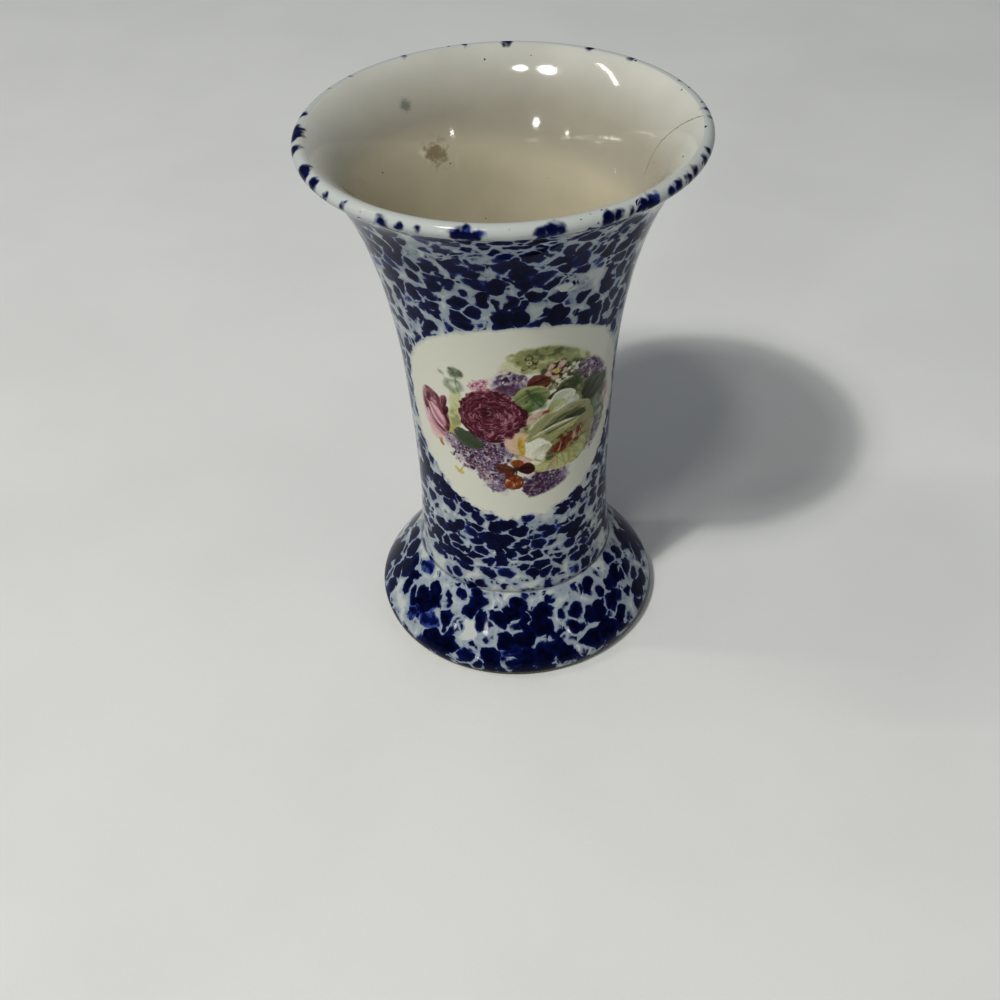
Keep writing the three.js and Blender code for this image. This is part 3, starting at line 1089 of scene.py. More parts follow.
@dataclass(frozen=True)
class BiscuitClay(Finish):
    """Once-fired cream earthenware: matt and faintly sandy, with the thrower's fine rings."""

    name: str = "biscuit_earthenware"
    pale: str = "#dccfb6"
    dark: str = "#c3b496"
    ring_spacing: float = 1.3

    def shade(self, wall: Wall) -> Node:
        """Builds the shader.

        Args:
            wall: The material's tree.

        Returns:
            Its last node.
        """
        rings = wall.put("Math.SINE", wall.put("Math.MULTIPLY", wall.out, math.tau / self.ring_spacing))
        sand = wall.put("TexNoise", wall.point, Scale=2.5, Detail=6.0)
        height = wall.put("Math.MULTIPLY_ADD", rings, 0.12, sand)
        relief = wall.put("Bump", Height=height, Strength=0.6, Distance=0.15 * MM)
        colour = wall.put("Mix", wall.put("MapRange", sand, 0.3, 0.7), self.dark, self.pale, data_type="RGBA")
        return wall.put("BsdfPrincipled", Base_Color=colour, Roughness=0.82, IOR=1.5, Normal=relief)


@dataclass(frozen=True)
class KilnGrit(Finish):
    """Burnt iron specks and pinhole rims in a glaze: dark brown, glassy."""

    name: str = "iron_specks"
    iron: str = "#4d4436"
    ash: str = "#7d745f"

    def shade(self, wall: Wall) -> Node:
        """Builds the shader.

        Args:
            wall: The material's tree.

        Returns:
            Its last node.
        """
        share = wall.put("MapRange", wall.put("TexNoise", wall.point, Scale=0.2, Detail=1.0), 0.4, 0.6)
        colour = wall.put("Mix", share, self.iron, self.ash, data_type="RGBA")
        return wall.put("BsdfPrincipled", Base_Color=colour, Roughness=0.25, IOR=1.55)


@dataclass(frozen=True)
class TableCloth(Finish):
    """Plain pale backing sheet: matt, with faint fibres and smudges."""

    name: str = "pale_backing_sheet"
    pale: str = "#e6e7e5"
    smudge: str = "#e3e4e2"

    def shade(self, wall: Wall) -> Node:
        """Builds the shader.

        Args:
            wall: The material's tree.

        Returns:
            Its last node.
        """
        share = wall.put("MapRange", wall.put("TexNoise", wall.point, Scale=0.014, Detail=5.0), 0.42, 0.62)
        colour = wall.put("Mix", share, self.pale, self.smudge, data_type="RGBA")
        fibre = wall.put("TexNoise", wall.point, Scale=1.4, Detail=2.0)
        relief = wall.put("Bump", Height=fibre, Strength=0.25, Distance=0.1 * MM)
        return wall.put("BsdfPrincipled", Base_Color=colour, Roughness=0.75, IOR=1.4, Normal=relief)


class Ink(Enum):
    """The print's fired enamels, as sRGB."""

    GLAZE = "#d3d3c7"
    WINE = "#3c151c"
    BURGUNDY = "#6e3648"
    ROSE = "#986070"
    BLUSH = "#d9b4bb"
    SHELL = "#d8bfb2"
    PEACH = "#cfb29c"
    WHITE = "#e4e4d4"
    CREAM = "#a5a280"
    BUTTER = "#cdb970"
    OCHRE = "#b1912f"
    AMBER = "#8f4f2e"
    RUST = "#6c3828"
    UMBER = "#352a20"
    LILAC = "#b8abb6"
    VIOLET = "#675570"
    PURPLE = "#382941"
    LIME = "#c1c395"
    OLIVE = "#93966c"
    MOSS = "#4f563e"
    GREEN = "#4a633a"
    SAGE = "#98a18b"
    SLATE = "#555e4e"

    @property
    def colour(self) -> np.ndarray:
        """Red, green and blue from 0 to 1, as a painter mixes them."""
        return srgb(self.value)


def ease(share: np.ndarray) -> np.ndarray:
    """A soft step from 0 to 1."""
    share = np.clip(share, 0, 1)
    return share * share * (3 - 2 * share)


def scatter(column: np.ndarray, row: np.ndarray, seed: int) -> np.ndarray:
    """A repeatable chance from 0 to 1 for each place of a lattice: the far decimals of a sine."""
    value = np.sin(column * 127.1 + row * 311.7 + seed * 74.7) * 43758.5453
    return value - np.floor(value)


def mottled(x: np.ndarray, y: np.ndarray, seed: int, octaves: int = 2) -> np.ndarray:
    """Smooth noise between about -1 and 1 with a patch for each unit.

    Args:
        x: Places one way, in patches.
        y: Places the other way, in patches.
        seed: Picks the pattern.
        octaves: How many finer patterns are added up.

    Returns:
        A value for each place.
    """
    total, weight = np.zeros(len(x)), 0.0
    for octave in range(octaves):
        px, py = x * 2**octave + 31.7 * seed, y * 2**octave + 17.3 * seed
        column, row = np.floor(px), np.floor(py)
        fx, fy = ease(px - column), ease(py - row)
        low, high = (scatter(column, row + j, seed + octave) * (1 - fx) +
                     scatter(column + 1, row + j, seed + octave) * fx for j in (0, 1))
        total += (low * (1 - fy) + high * fy) / 2**octave
        weight += 1 / 2**octave
    return (total / weight * 2 - 1) * 1.5


@dataclass
class Canvas:
    """Points of the print while it is painted: places in millimetres, sRGB colours and ink cover."""

    across: np.ndarray
    up: np.ndarray
    colour: np.ndarray
    cover: np.ndarray

    def seen_from(self, centre: Pair, turn: float = 0.0) -> Line:
        """Places along and across a direction.

        Args:
            centre: Where they are measured from.
            turn: The direction, in degrees.

        Returns:
            Millimetres along it and to its left.
        """
        x, y = self.across - centre[0], self.up - centre[1]
        c, s = math.cos(math.radians(turn)), math.sin(math.radians(turn))
        return x * c + y * s, y * c - x * s

    def mottle(self, width: float, seed: int, octaves: int = 3) -> np.ndarray:
        """Smooth noise in patches of a width in millimetres."""
        return mottled(self.across / width, self.up / width, seed, octaves)

    def patch(self, centre: Pair, size: Pair, turn: float, soft: float, ragged: float, grain: float,
              seed: int) -> np.ndarray:
        """A rounded patch.

        Args:
            centre: Its middle.
            size: Its length and width.
            turn: The direction of its length, in degrees.
            soft: Width of its soft edge.
            ragged: How uneven its edge is, as a share of its radius.
            grain: Width of the unevenness.
            seed: Picks the unevenness.

        Returns:
            1 inside and 0 outside.
        """
        u, v = self.seen_from(centre, turn)
        reach = np.hypot(u / (size[0] / 2), v / (size[1] / 2)) + ragged * self.mottle(grain, seed, 2)
        return ease((1 - reach) * min(size) / 2 / soft + 0.5)

    def flecks(self, spacing: float, size: float, shape: float,
               seed: int) -> tuple[np.ndarray, np.ndarray, np.ndarray]:
        """Scattered long flecks, each with its own direction.

        Args:
            spacing: Millimetres between them.
            size: Half their width, as a share of the spacing.
            shape: How many times longer than wide they are.
            seed: Picks the places.

        Returns:
            1 inside a fleck and 0 outside, and two chances of each fleck.
        """
        margin, soft, reseed = 0.1, 0.2, 50
        x, y = self.across / spacing, self.up / spacing
        best = np.full(len(x), FAR)
        chances = np.zeros((2, len(x)))
        for i, j in np.ndindex(3, 3):
            column, row = np.floor(x) + i - 1, np.floor(y) + j - 1
            right, over, turn, *two = (scatter(column, row, seed + reseed * n) for n in range(5))
            dx = x - column - margin - (1 - 2 * margin) * right
            dy = y - row - margin - (1 - 2 * margin) * over
            c, s = np.cos(turn * math.pi), np.sin(turn * math.pi)
            far = np.hypot((dx * c + dy * s) / shape, dy * c - dx * s)
            near = far < best
            best = np.where(near, far, best)
            chances[:, near] = np.stack(two)[:, near]
        return ease((size - best) * spacing / soft + 0.5), chances[0], chances[1]

    def lay(self, mask: np.ndarray, ink: Ink, strength: float = 1.0) -> None:
        """Lays an enamel over what is there.

        Args:
            mask: 1 where it goes and 0 where it doesn't.
            ink: The enamel.
            strength: How fully it covers.
        """
        share = np.clip(mask * strength, 0, 1)
        self.colour += (ink.colour - self.colour) * share[:, None]
        self.cover = np.maximum(self.cover, share)


class Motif:
    """Something in the spray that knows where it is and paints itself."""

    def span(self) -> tuple[Pair, float]:
        """Its middle and how far it reaches."""
        raise NotImplementedError

    def paint(self, canvas: Canvas) -> None:
        """Paints it."""
        raise NotImplementedError

    def paint_on(self, canvas: Canvas) -> None:
        """Paints it on the part of the canvas that it reaches.

        Args:
            canvas: The whole canvas.
        """
        middle, reach = self.span()
        near = np.flatnonzero(np.maximum(abs(canvas.across - middle[0]), abs(canvas.up - middle[1])) < reach)
        part = Canvas(canvas.across[near], canvas.up[near], canvas.colour[near], canvas.cover[near])
        self.paint(part)
        canvas.colour[near], canvas.cover[near] = part.colour, part.cover


@dataclass(frozen=True)
class Dab(Motif):
    """A soft patch of one enamel, broken by a second."""

    centre: Pair
    size: Pair
    ink: Ink
    second: Ink | None = None
    turn: float = 0.0
    amount: float = 0.0
    grain: float = 1.3
    soft: float = 0.8
    ragged: float = 0.22
    strength: float = 0.85
    edge_grain: float = 1.8

    def span(self) -> tuple[Pair, float]:
        """Its middle and how far it reaches."""
        return self.centre, max(self.size) * 0.8 + 1

    def paint(self, canvas: Canvas) -> None:
        """Paints it.

        Args:
            canvas: The points that it may reach.
        """
        seed = int(self.size[0] * 10 + self.size[1] * 7)
        mask = canvas.patch(self.centre, self.size, self.turn, self.soft, self.ragged, self.edge_grain, seed)
        canvas.lay(mask, self.ink, self.strength)
        if self.second:
            broken = ease(0.5 + self.amount + canvas.mottle(self.grain, seed + 3))
            canvas.lay(mask * broken, self.second, self.strength)


@dataclass(frozen=True)
class Stroke(Motif):
    """A brush line that bends by its middle points and thins towards its end."""

    points: tuple[Pair, ...]
    ink: Ink
    width: float = 0.4
    strength: float = 0.7
    soft: float = 0.25
    taper: float = 0.6
    steps: int = 7

    def span(self) -> tuple[Pair, float]:
        """Its middle and how far it reaches."""
        low, high = np.min(self.points, axis=0), np.max(self.points, axis=0)
        return tuple((low + high) / 2), float(np.max(high - low)) / 2 + 1

    def paint(self, canvas: Canvas) -> None:
        """Paints it.

        Args:
            canvas: The points that it may reach.
        """
        way = bezier(list(self.points), self.steps)[0]
        gap = np.full(len(canvas.across), FAR)
        for number, (start, step) in enumerate(zip(way, np.diff(way, axis=0))):
            x, y = canvas.across - start[0], canvas.up - start[1]
            share = np.clip((x * step[0] + y * step[1]) / (step @ step), 0, 1)
            half = self.width / 2 * (1 - self.taper * (number + share) / self.steps)
            gap = np.minimum(gap, np.hypot(x - share * step[0], y - share * step[1]) - half)
        canvas.lay(ease(0.5 - gap / self.soft), self.ink, self.strength)


@dataclass(frozen=True)
class Petal(Motif):
    """A petal or leaf drawn with strokes along it: dark at its base, paler at its rim."""

    base: Pair
    tip: Pair
    width: float
    ink: Ink
    shade: Ink
    rim: Ink | None = None
    bend: float = 0.0
    belly: float = 0.5
    blunt: float = 0.5
    strokes: float = 0.5
    strength: float = 1.0
    soft: float = 0.35
    waver: float = 0.12
    streak: Pair = (3.2, 0.55)
    rim_from: float = 0.55
    tip_from: float = 0.86

    def span(self) -> tuple[Pair, float]:
        """Its middle and how far it reaches."""
        middle = ((self.base[0] + self.tip[0]) / 2, (self.base[1] + self.tip[1]) / 2)
        return middle, math.dist(self.base, self.tip) / 2 + self.width / 2 + abs(self.bend) + 0.5

    def paint(self, canvas: Canvas) -> None:
        """Paints it.

        Args:
            canvas: The points that it may reach.
        """
        length = math.dist(self.base, self.tip)
        turn = math.degrees(math.atan2(self.tip[1] - self.base[1], self.tip[0] - self.base[0]))
        u, v = canvas.seen_from(self.base, turn)
        share = np.clip(u / length, 0, 1)
        v = v - self.bend * np.sin(math.pi * share) + self.waver * canvas.mottle(0.9, 5)
        bulge = np.sin(math.pi * share**(math.log(0.5) / math.log(self.belly)))
        half = self.width / 2 * np.clip(bulge, 0, 1) ** self.blunt + 1e-6
        mask = (u > 0) * (u < length) * ease((half - np.abs(v)) / self.soft + 0.5)
        streak = mottled(u / self.streak[0], v / self.streak[1], int(self.width * 10 + length * 3))
        canvas.lay(mask, self.ink, self.strength)
        deep = np.clip((1 - share) ** 1.3 * 0.9 + self.strokes * streak - 0.1, 0, 1)
        canvas.lay(mask * deep, self.shade, 0.8 * self.strength)
        if self.rim:
            edge = ease((v / half - self.rim_from) / 0.3) + 0.5 * ease((share - self.tip_from) / 0.1)
            canvas.lay(mask * edge * ease(0.7 + 0.8 * streak), self.rim, 0.75 * self.strength)


@dataclass(frozen=True)
class Rose(Motif):
    """A full rose seen from above: ring on ring of dark petals, scratched with pale strokes."""

    centre: Pair
    size: Pair
    heart: Pair
    lit: Pair
    rings: tuple[tuple[float, int, float], ...] = (
        (0.24, 3, 0.4), (0.40, 4, 1.3), (0.56, 5, 2.9), (0.72, 5, 0.2), (0.87, 6, 1.9), (1.0, 7, 0.5))

    def span(self) -> tuple[Pair, float]:
        """Its middle and how far it reaches."""
        return self.centre, max(self.size) * 0.62

    def paint(self, canvas: Canvas) -> None:
        """Paints it.

        Args:
            canvas: The points that it may reach.
        """
        radius = self.size[0] / 2
        u, v = canvas.seen_from(self.centre)
        u, v = u / radius, v / (self.size[1] / 2)
        drawn_in = np.clip(1 - np.hypot(u, v), 0, 1)
        u, v = u - self.heart[0] * drawn_in, v - self.heart[1] * drawn_in
        angle = np.arctan2(v, u)
        reach = np.hypot(u, v) + 0.10 * canvas.mottle(3.2, 11) + 0.05 * canvas.mottle(0.9, 12)
        around = angle * reach * radius
        whole = ease((1 + 0.05 * np.cos(5 * angle + 0.4) - reach) * radius / 0.4 + 0.5)
        long = mottled(around / 1.7, reach * radius / 0.42, 3)
        fine = mottled(around, reach * radius / 0.3, 9)
        light = np.exp(-((u - self.lit[0]) ** 2 + (v - self.lit[1]) ** 2) / 0.09)
        canvas.lay(whole, Ink.BURGUNDY)
        inner = 0.0
        for ring, petals, phase in self.rings:
            outer = ring * (0.95 + 0.09 * np.abs(np.sin(petals / 2 * angle + phase)))
            share = np.clip((reach - inner) / np.maximum(outer - inner, 1e-6), 0, 1)
            band = whole * (reach >= inner) * (reach < outer)
            canvas.lay(band * (1 - share) ** 1.4, Ink.WINE, 0.55)
            canvas.lay(band * ease((share - 0.55) * 2.2), Ink.ROSE, 0.35)
            inner = outer
        canvas.lay(whole * ease(-0.2 - 1.3 * long), Ink.WINE, 0.6)
        canvas.lay(whole * ease(-0.3 + 1.3 * long), Ink.ROSE, 0.5)
        scratched = ease(-0.95 + 2.0 * fine + 1.2 * light + 0.5 * np.clip(reach, 0, 1))
        canvas.lay(whole * scratched, Ink.BLUSH, 0.6)
        canvas.lay(whole * light * ease(0.4 + canvas.mottle(0.8, 7)), Ink.BLUSH, 0.7)
        dark = np.exp(-((u - 0.02) ** 2 / 0.07 + (v - 0.05) ** 2 / 0.05))
        canvas.lay(whole * dark * ease(0.9 - 0.8 * fine), Ink.WINE, 0.8)
        canvas.lay(whole * ease((reach - 0.86) * 7) * ease(0.3 + canvas.mottle(2.4, 6)), Ink.WINE, 0.5)


@dataclass(frozen=True)
class Lilac(Motif):
    """A loose head of tiny lilac flowers, seen as light and dark flecks."""

    centre: Pair
    size: Pair
    turn: float = 0.0
    deep: float = 0.5
    strength: float = 1.0
    spacing: float = 0.8

    def span(self) -> tuple[Pair, float]:
        """Its middle and how far it reaches."""
        return self.centre, max(self.size) * 0.8

    def paint(self, canvas: Canvas) -> None:
        """Paints it.

        Args:
            canvas: The points that it may reach.
        """
        seed = int(self.size[0] * 13 + self.size[1] * 5)
        wash = canvas.patch(self.centre, self.size, self.turn, 2.2, 0.25, 2.0, seed)
        head = canvas.patch(self.centre, self.size, self.turn, 1.2, 0.34, 1.3, seed)
        canvas.lay(wash, Ink.LILAC, 0.6 * self.strength)
        shaded = head * ease(0.2 + self.deep + 0.9 * canvas.mottle(1.6, seed))
        canvas.lay(shaded, Ink.VIOLET, 0.9 * self.strength)
        dark, chance, _ = canvas.flecks(self.spacing * 1.25, 0.34, 1.5, seed)
        canvas.lay(head * dark * (chance < 0.3 + 0.6 * self.deep), Ink.PURPLE, 0.8 * self.strength)
        canvas.lay(wash * dark * (chance > 0.8), Ink.VIOLET, 0.6 * self.strength)
        rosy = head * ease(0.1 + 1.2 * canvas.mottle(2.4, seed + 2))
        canvas.lay(rosy, Ink.BURGUNDY, 0.3 * self.strength)
        light, chance, tone = canvas.flecks(self.spacing * 0.8, 0.27, 1.7, seed + 7)
        canvas.lay(head * light * (chance < 0.7 - 0.4 * self.deep), Ink.LILAC, 0.75 * self.strength)
        canvas.lay(wash * light * (tone < 0.3 - 0.2 * self.deep), Ink.WHITE, 0.65 * self.strength)


@dataclass(frozen=True)
class Floret(Motif):
    """A small open flower: pale petals, dark strokes between them and a ringed eye."""

    centre: Pair
    size: float
    petal: Ink
    line: Ink = Ink.UMBER
    eye: Ink = Ink.BUTTER
    turn: float = 0.0
    dark: float = 0.7
    petals: int = 5

    def span(self) -> tuple[Pair, float]:
        """Its middle and how far it reaches."""
        return self.centre, self.size

    def paint(self, canvas: Canvas) -> None:
        """Paints it.

        Args:
            canvas: The points that it may reach.
        """
        u, v = canvas.seen_from(self.centre, self.turn)
        lobes = np.cos(self.petals * np.arctan2(v, u))
        reach = np.hypot(u, v) / (self.size / 2) + 0.12 * canvas.mottle(0.9, int(self.size * 10))
        edge = 0.82 + 0.18 * lobes
        canvas.lay(ease((edge - reach) * self.size / 0.6 + 0.5), self.petal, 0.9)
        between = ease((-lobes - 0.45) * 3) * ease((0.8 - reach) * 5)
        ringed = np.exp(-((reach - 0.36) / 0.11) ** 2) + 0.7 * np.exp(-((reach - edge) / 0.09) ** 2)
        canvas.lay(np.clip(between + ringed, 0, 1) * ease(0.6 + canvas.mottle(0.8, 4)), self.line, self.dark)
        canvas.lay(ease((0.3 - reach) * 7), self.eye, 0.9)
        canvas.lay(ease((0.1 - reach) * 9), self.line, 0.8)


@dataclass(frozen=True)
class RoseSpray:
    """A mixed spray in the manner of old transfer prints: a burgundy rose, a cream one, a pink bud, lilac,
    leaves and small flowers. Places are millimetres across the front and up from the table."""

    # The soft greenery behind the flowers.
    foliage: tuple[Motif, ...] = (
        Dab((1.6, 91.6), (9.0, 5.0), Ink.LIME, turn=30, strength=0.55, soft=1.6),
        Dab((7.0, 93.0), (14.5, 7.6), Ink.LIME, Ink.OLIVE, -4, 0.2, 1.6, 1.2),
        Dab((8.6, 94.4), (10.0, 4.4), Ink.OLIVE, Ink.MOSS, -8, -0.2, 1.1, 1.1, strength=0.6),
        Dab((14.6, 91.4), (7.5, 6.5), Ink.LIME, Ink.OLIVE, -40, 0.1, 1.5, 1.6, strength=0.7),
        Dab((12.6, 86.0), (12.0, 8.0), Ink.OLIVE, Ink.MOSS, -30, 0.25, 1.0, 1.0),
        Dab((21.4, 77.6), (12.0, 11.0), Ink.SAGE, Ink.SLATE, -30, 0.15, 2.4, 1.6, strength=0.8),
        Dab((15.6, 80.4), (9.0, 6.0), Ink.OLIVE, Ink.SLATE, -20, 0.1, 1.2, 1.0),
        Dab((2.6, 73.6), (8.0, 7.0), Ink.OLIVE, Ink.UMBER, 30, -0.2, 1.2, 1.2, strength=0.7),
        Dab((-1.0, 66.8), (7.0, 5.0), Ink.SAGE, Ink.VIOLET, 0, 0.1, 1.2, 1.4, strength=0.6),
        Dab((23.4, 68.8), (6.5, 13.0), Ink.SAGE, Ink.SLATE, 14, -0.1, 1.8, 1.8, strength=0.65),
        Dab((20.0, 62.8), (7.0, 5.0), Ink.SAGE, Ink.VIOLET, 40, -0.1, 1.0, 1.4, strength=0.5),
        Dab((-13.2, 78.6), (3.2, 8.0), Ink.LIME, turn=-10, strength=0.75, soft=1.2),
        Dab((-14.4, 72.4), (4.4, 9.6), Ink.LIME, Ink.OLIVE, -14, 0.0, 1.2, 1.0, strength=0.8),
        Dab((-16.0, 69.6), (3.0, 4.6), Ink.LIME, Ink.OCHRE, -40, -0.2, 1.0, 0.9, strength=0.7),
        Dab((-12.2, 87.9), (3.7, 3.4), Ink.SAGE, Ink.SLATE, 0, -0.3, 1.2, 0.9, 0.1, 0.75),
        Dab((-13.2, 83.8), (5.0, 4.2), Ink.SAGE, Ink.SLATE, 0, -0.35, 1.4, 1.0, 0.1, 0.8),
        Dab((-12.9, 84.2), (2.4, 1.8), Ink.WHITE, strength=0.6),
        Dab((-17.4, 88.2), (2.0, 1.2), Ink.SAGE, Ink.SLATE, -25, strength=0.6, soft=0.5),
        Dab((-15.8, 86.9), (1.5, 1.1), Ink.SAGE, turn=-20, strength=0.6, soft=0.5),
        Stroke(((-17.0, 88.0), (-15.2, 86.6), (-13.4, 82.6)), Ink.SAGE, 0.35, 0.5),
        Stroke(((-12.2, 86.4), (-12.6, 84.4), (-11.6, 81.0)), Ink.SLATE, 0.4, 0.45))
    # Lilac heads, a cluster of pink blossom and small open flowers.
    small_flowers: tuple[Motif, ...] = (
        Lilac((21.8, 84.4), (9.6, 6.6), -28, 0.5, 0.9),
        Lilac((17.4, 86.6), (4.0, 3.4), 0, 0.5, 0.7),
        Lilac((23.6, 63.8), (6.5, 7.5), -30, 0.25, 0.55),
        Lilac((-0.1, 86.5), (7.4, 6.2), 0, 0.75, 1.0, 1.15),
        Dab((-0.8, 84.0), (6.8, 3.4), Ink.VIOLET, Ink.BURGUNDY, 0, 0.0, 1.2, 0.8, strength=0.7),
        Lilac((-8.0, 64.4), (14.4, 11.4), -16, 0.5),
        Lilac((-4.2, 57.0), (6.4, 9.4), 40, 0.4, 0.85),
        Lilac((-14.8, 66.6), (5.0, 4.6), 0, 0.15, 0.6),
        Lilac((8.0, 54.6), (10.2, 9.0), 14, 1.1),
        Lilac((12.4, 56.4), (4.2, 5.0), 0, 0.3, 0.7),
        *(Floret((-6.6 + reach * math.cos(2.4 * n), 85.3 + reach * math.sin(2.4 * n)),
                 2.5, Ink.BLUSH, Ink.BURGUNDY, Ink.ROSE, 137.5 * n, 0.55)
          for n, reach in enumerate(0.9 * math.sqrt(n) for n in range(6))),
        Dab((-6.4, 82.6), (4.6, 2.8), Ink.ROSE, Ink.BURGUNDY, 0, 0.0, 0.9, 0.6, strength=0.8),
        Floret((3.9, 92.2), 4.6, Ink.OLIVE, eye=Ink.LIME, turn=20, dark=0.75),
        Floret((10.0, 88.4), 6.2, Ink.SHELL, turn=54, dark=0.9),
        Floret((12.0, 84.6), 4.6, Ink.WHITE, eye=Ink.LIME, turn=10, dark=0.75),
        Floret((14.4, 87.8), 3.4, Ink.WHITE, eye=Ink.OLIVE, turn=30, dark=0.65),
        Floret((-14.4, 56.8), 3.4, Ink.BUTTER, Ink.OCHRE, Ink.RUST, 20, 0.3, 4),
        Stroke(((-13.4, 57.8), (-13.0, 58.6), (-12.4, 59.6)), Ink.OCHRE, 0.4, 0.6),
        Dab((-18.6, 64.8), (1.4, 2.6), Ink.PEACH, Ink.AMBER, 15, -0.2, 0.8, 0.4, 0.1, 0.7),
        Dab((-20.6, 66.0), (5.0, 2.2), Ink.PEACH, turn=-10, strength=0.45, soft=0.9),
        *(Petal(base, tip, 2.2, Ink.BLUSH, Ink.ROSE, strength=0.55) for base, tip in (
            ((25.6, 74.6), (28.8, 76.2)), ((26.4, 73.0), (29.8, 72.8)), ((25.2, 72.0), (27.6, 70.6)))))
    # The drawn leaves, with the white and blush petals that lie among them.
    leaves: tuple[Motif, ...] = (
        Petal((-6.8, 66.6), (-14.0, 70.4), 4.8, Ink.SLATE, Ink.MOSS, Ink.SAGE, 0.6, 0.6, 0.4, strokes=0.5),
        Petal((3.6, 84.4), (8.8, 86.4), 5.0, Ink.RUST, Ink.WINE, Ink.ROSE, 0.4, strokes=0.9, strength=0.85),
        Dab((2.8, 82.2), (2.4, 5.0), Ink.SAGE, Ink.MOSS, 10, 0.0, strength=0.8),
        Petal((0.8, 79.0), (8.4, 83.2), 7.6, Ink.OLIVE, Ink.GREEN, Ink.LIME, 0.4, 0.5, 0.45, 0.9),
        Dab((5.8, 80.4), (5.6, 3.4), Ink.GREEN, Ink.SAGE, -52, -0.2, 1.2, 1.6, 0.2, 0.75),
        Dab((3.0, 80.0), (3.4, 2.0), Ink.GREEN, Ink.LIME, 40, 0.0, 0.8, 1.2, 0.2, 0.6),
        Stroke(((3.6, 84.0), (4.4, 81.6), (6.8, 78.6)), Ink.MOSS, 0.8, 0.7, 0.7),
        Stroke(((4.8, 81.8), (6.0, 82.4), (7.8, 82.6)), Ink.GREEN, 0.6, 0.5, 0.6),
        Petal((10.2, 81.4), (16.4, 83.6), 4.2, Ink.MOSS, Ink.UMBER, Ink.SAGE, 0.3, strokes=0.6,
              strength=0.8),
        Petal((8.4, 80.6), (14.6, 81.0), 2.6, Ink.SLATE, Ink.UMBER, None, 0.4, strokes=0.6, strength=0.8),
        Petal((17.6, 75.6), (26.2, 79.6), 6.0, Ink.SLATE, Ink.UMBER, Ink.SAGE, 0.5, strokes=0.7,
              strength=0.8),
        Petal((17.6, 77.6), (22.4, 82.2), 4.0, Ink.SLATE, Ink.UMBER, None, 0.2, strokes=0.7, strength=0.6),
        Petal((8.8, 77.4), (15.4, 80.2), 5.0, Ink.WHITE, Ink.SAGE, Ink.WHITE, 0.9, strokes=0.3,
              strength=0.9),
        Petal((12.6, 77.2), (16.8, 77.6), 3.4, Ink.WHITE, Ink.SAGE, None, 0.3, strength=0.8),
        Petal((8.4, 76.8), (12.8, 78.8), 3.0, Ink.LIME, Ink.OLIVE, None, 0.2, strength=0.85),
        Petal((8.8, 76.4), (2.6, 74.8), 3.6, Ink.SHELL, Ink.RUST, Ink.SHELL, 0.5, 0.45, strokes=0.35,
              strength=0.85),
        Dab((8.2, 76.4), (1.8, 1.2), Ink.AMBER, Ink.RUST, 20, 0.0, 0.6, 0.4, strength=0.6))
    # A small pink rose turned aside.
    bud: tuple[Motif, ...] = (
        Dab((-20.2, 71.6), (7.4, 12.0), Ink.BLUSH, Ink.SHELL, 14, 0.2, 1.4, 1.3, 0.12, 0.7),
        Petal((-16.8, 67.0), (-23.8, 73.4), 4.4, Ink.BLUSH, Ink.ROSE, Ink.SHELL, 0.9, strokes=0.6,
              strength=0.7),
        Petal((-16.2, 68.8), (-22.0, 80.0), 7.6, Ink.ROSE, Ink.WINE, Ink.BURGUNDY, 0.3, 0.56, strokes=0.9,
              strength=0.8),
        Dab((-20.4, 76.4), (4.4, 4.6), Ink.BLUSH, Ink.BURGUNDY, -30, 0.0, 0.7, 0.8, 0.2, 0.7),
        Petal((-17.0, 69.8), (-21.0, 75.6), 3.6, Ink.BLUSH, Ink.ROSE, Ink.SHELL, 0.1, 0.5, strokes=0.5),
        Dab((-21.4, 77.0), (1.4, 2.6), Ink.WINE, Ink.BURGUNDY, -20, 0.0, 0.6, 0.6, 0.3, 0.75),
        Petal((-16.8, 68.2), (-22.4, 73.0), 2.2, Ink.BLUSH, Ink.BURGUNDY, Ink.SHELL, 0.5, 0.5, strokes=0.8),
        Stroke(((-23.2, 77.4), (-22.8, 72.6), (-17.6, 68.2)), Ink.WINE, 0.5, 0.55, 0.4),
        Stroke(((-21.6, 79.8), (-18.8, 78.4), (-17.4, 73.4)), Ink.WINE, 0.5, 0.5, 0.4),
        Stroke(((-21.2, 75.8), (-20.2, 72.8), (-17.8, 70.4)), Ink.WINE, 0.4, 0.5, 0.3),
        Petal((-16.9, 75.6), (-15.9, 79.8), 2.0, Ink.ROSE, Ink.WINE, Ink.BLUSH, 0.2, strokes=1.0),
        Petal((-16.8, 73.6), (-15.6, 76.6), 1.6, Ink.BURGUNDY, Ink.WINE, Ink.ROSE, 0.1, strokes=0.9),
        Stroke(((-16.8, 75.4), (-15.8, 72.8), (-16.0, 69.0)), Ink.WINE, 0.8, 0.6, 0.5))
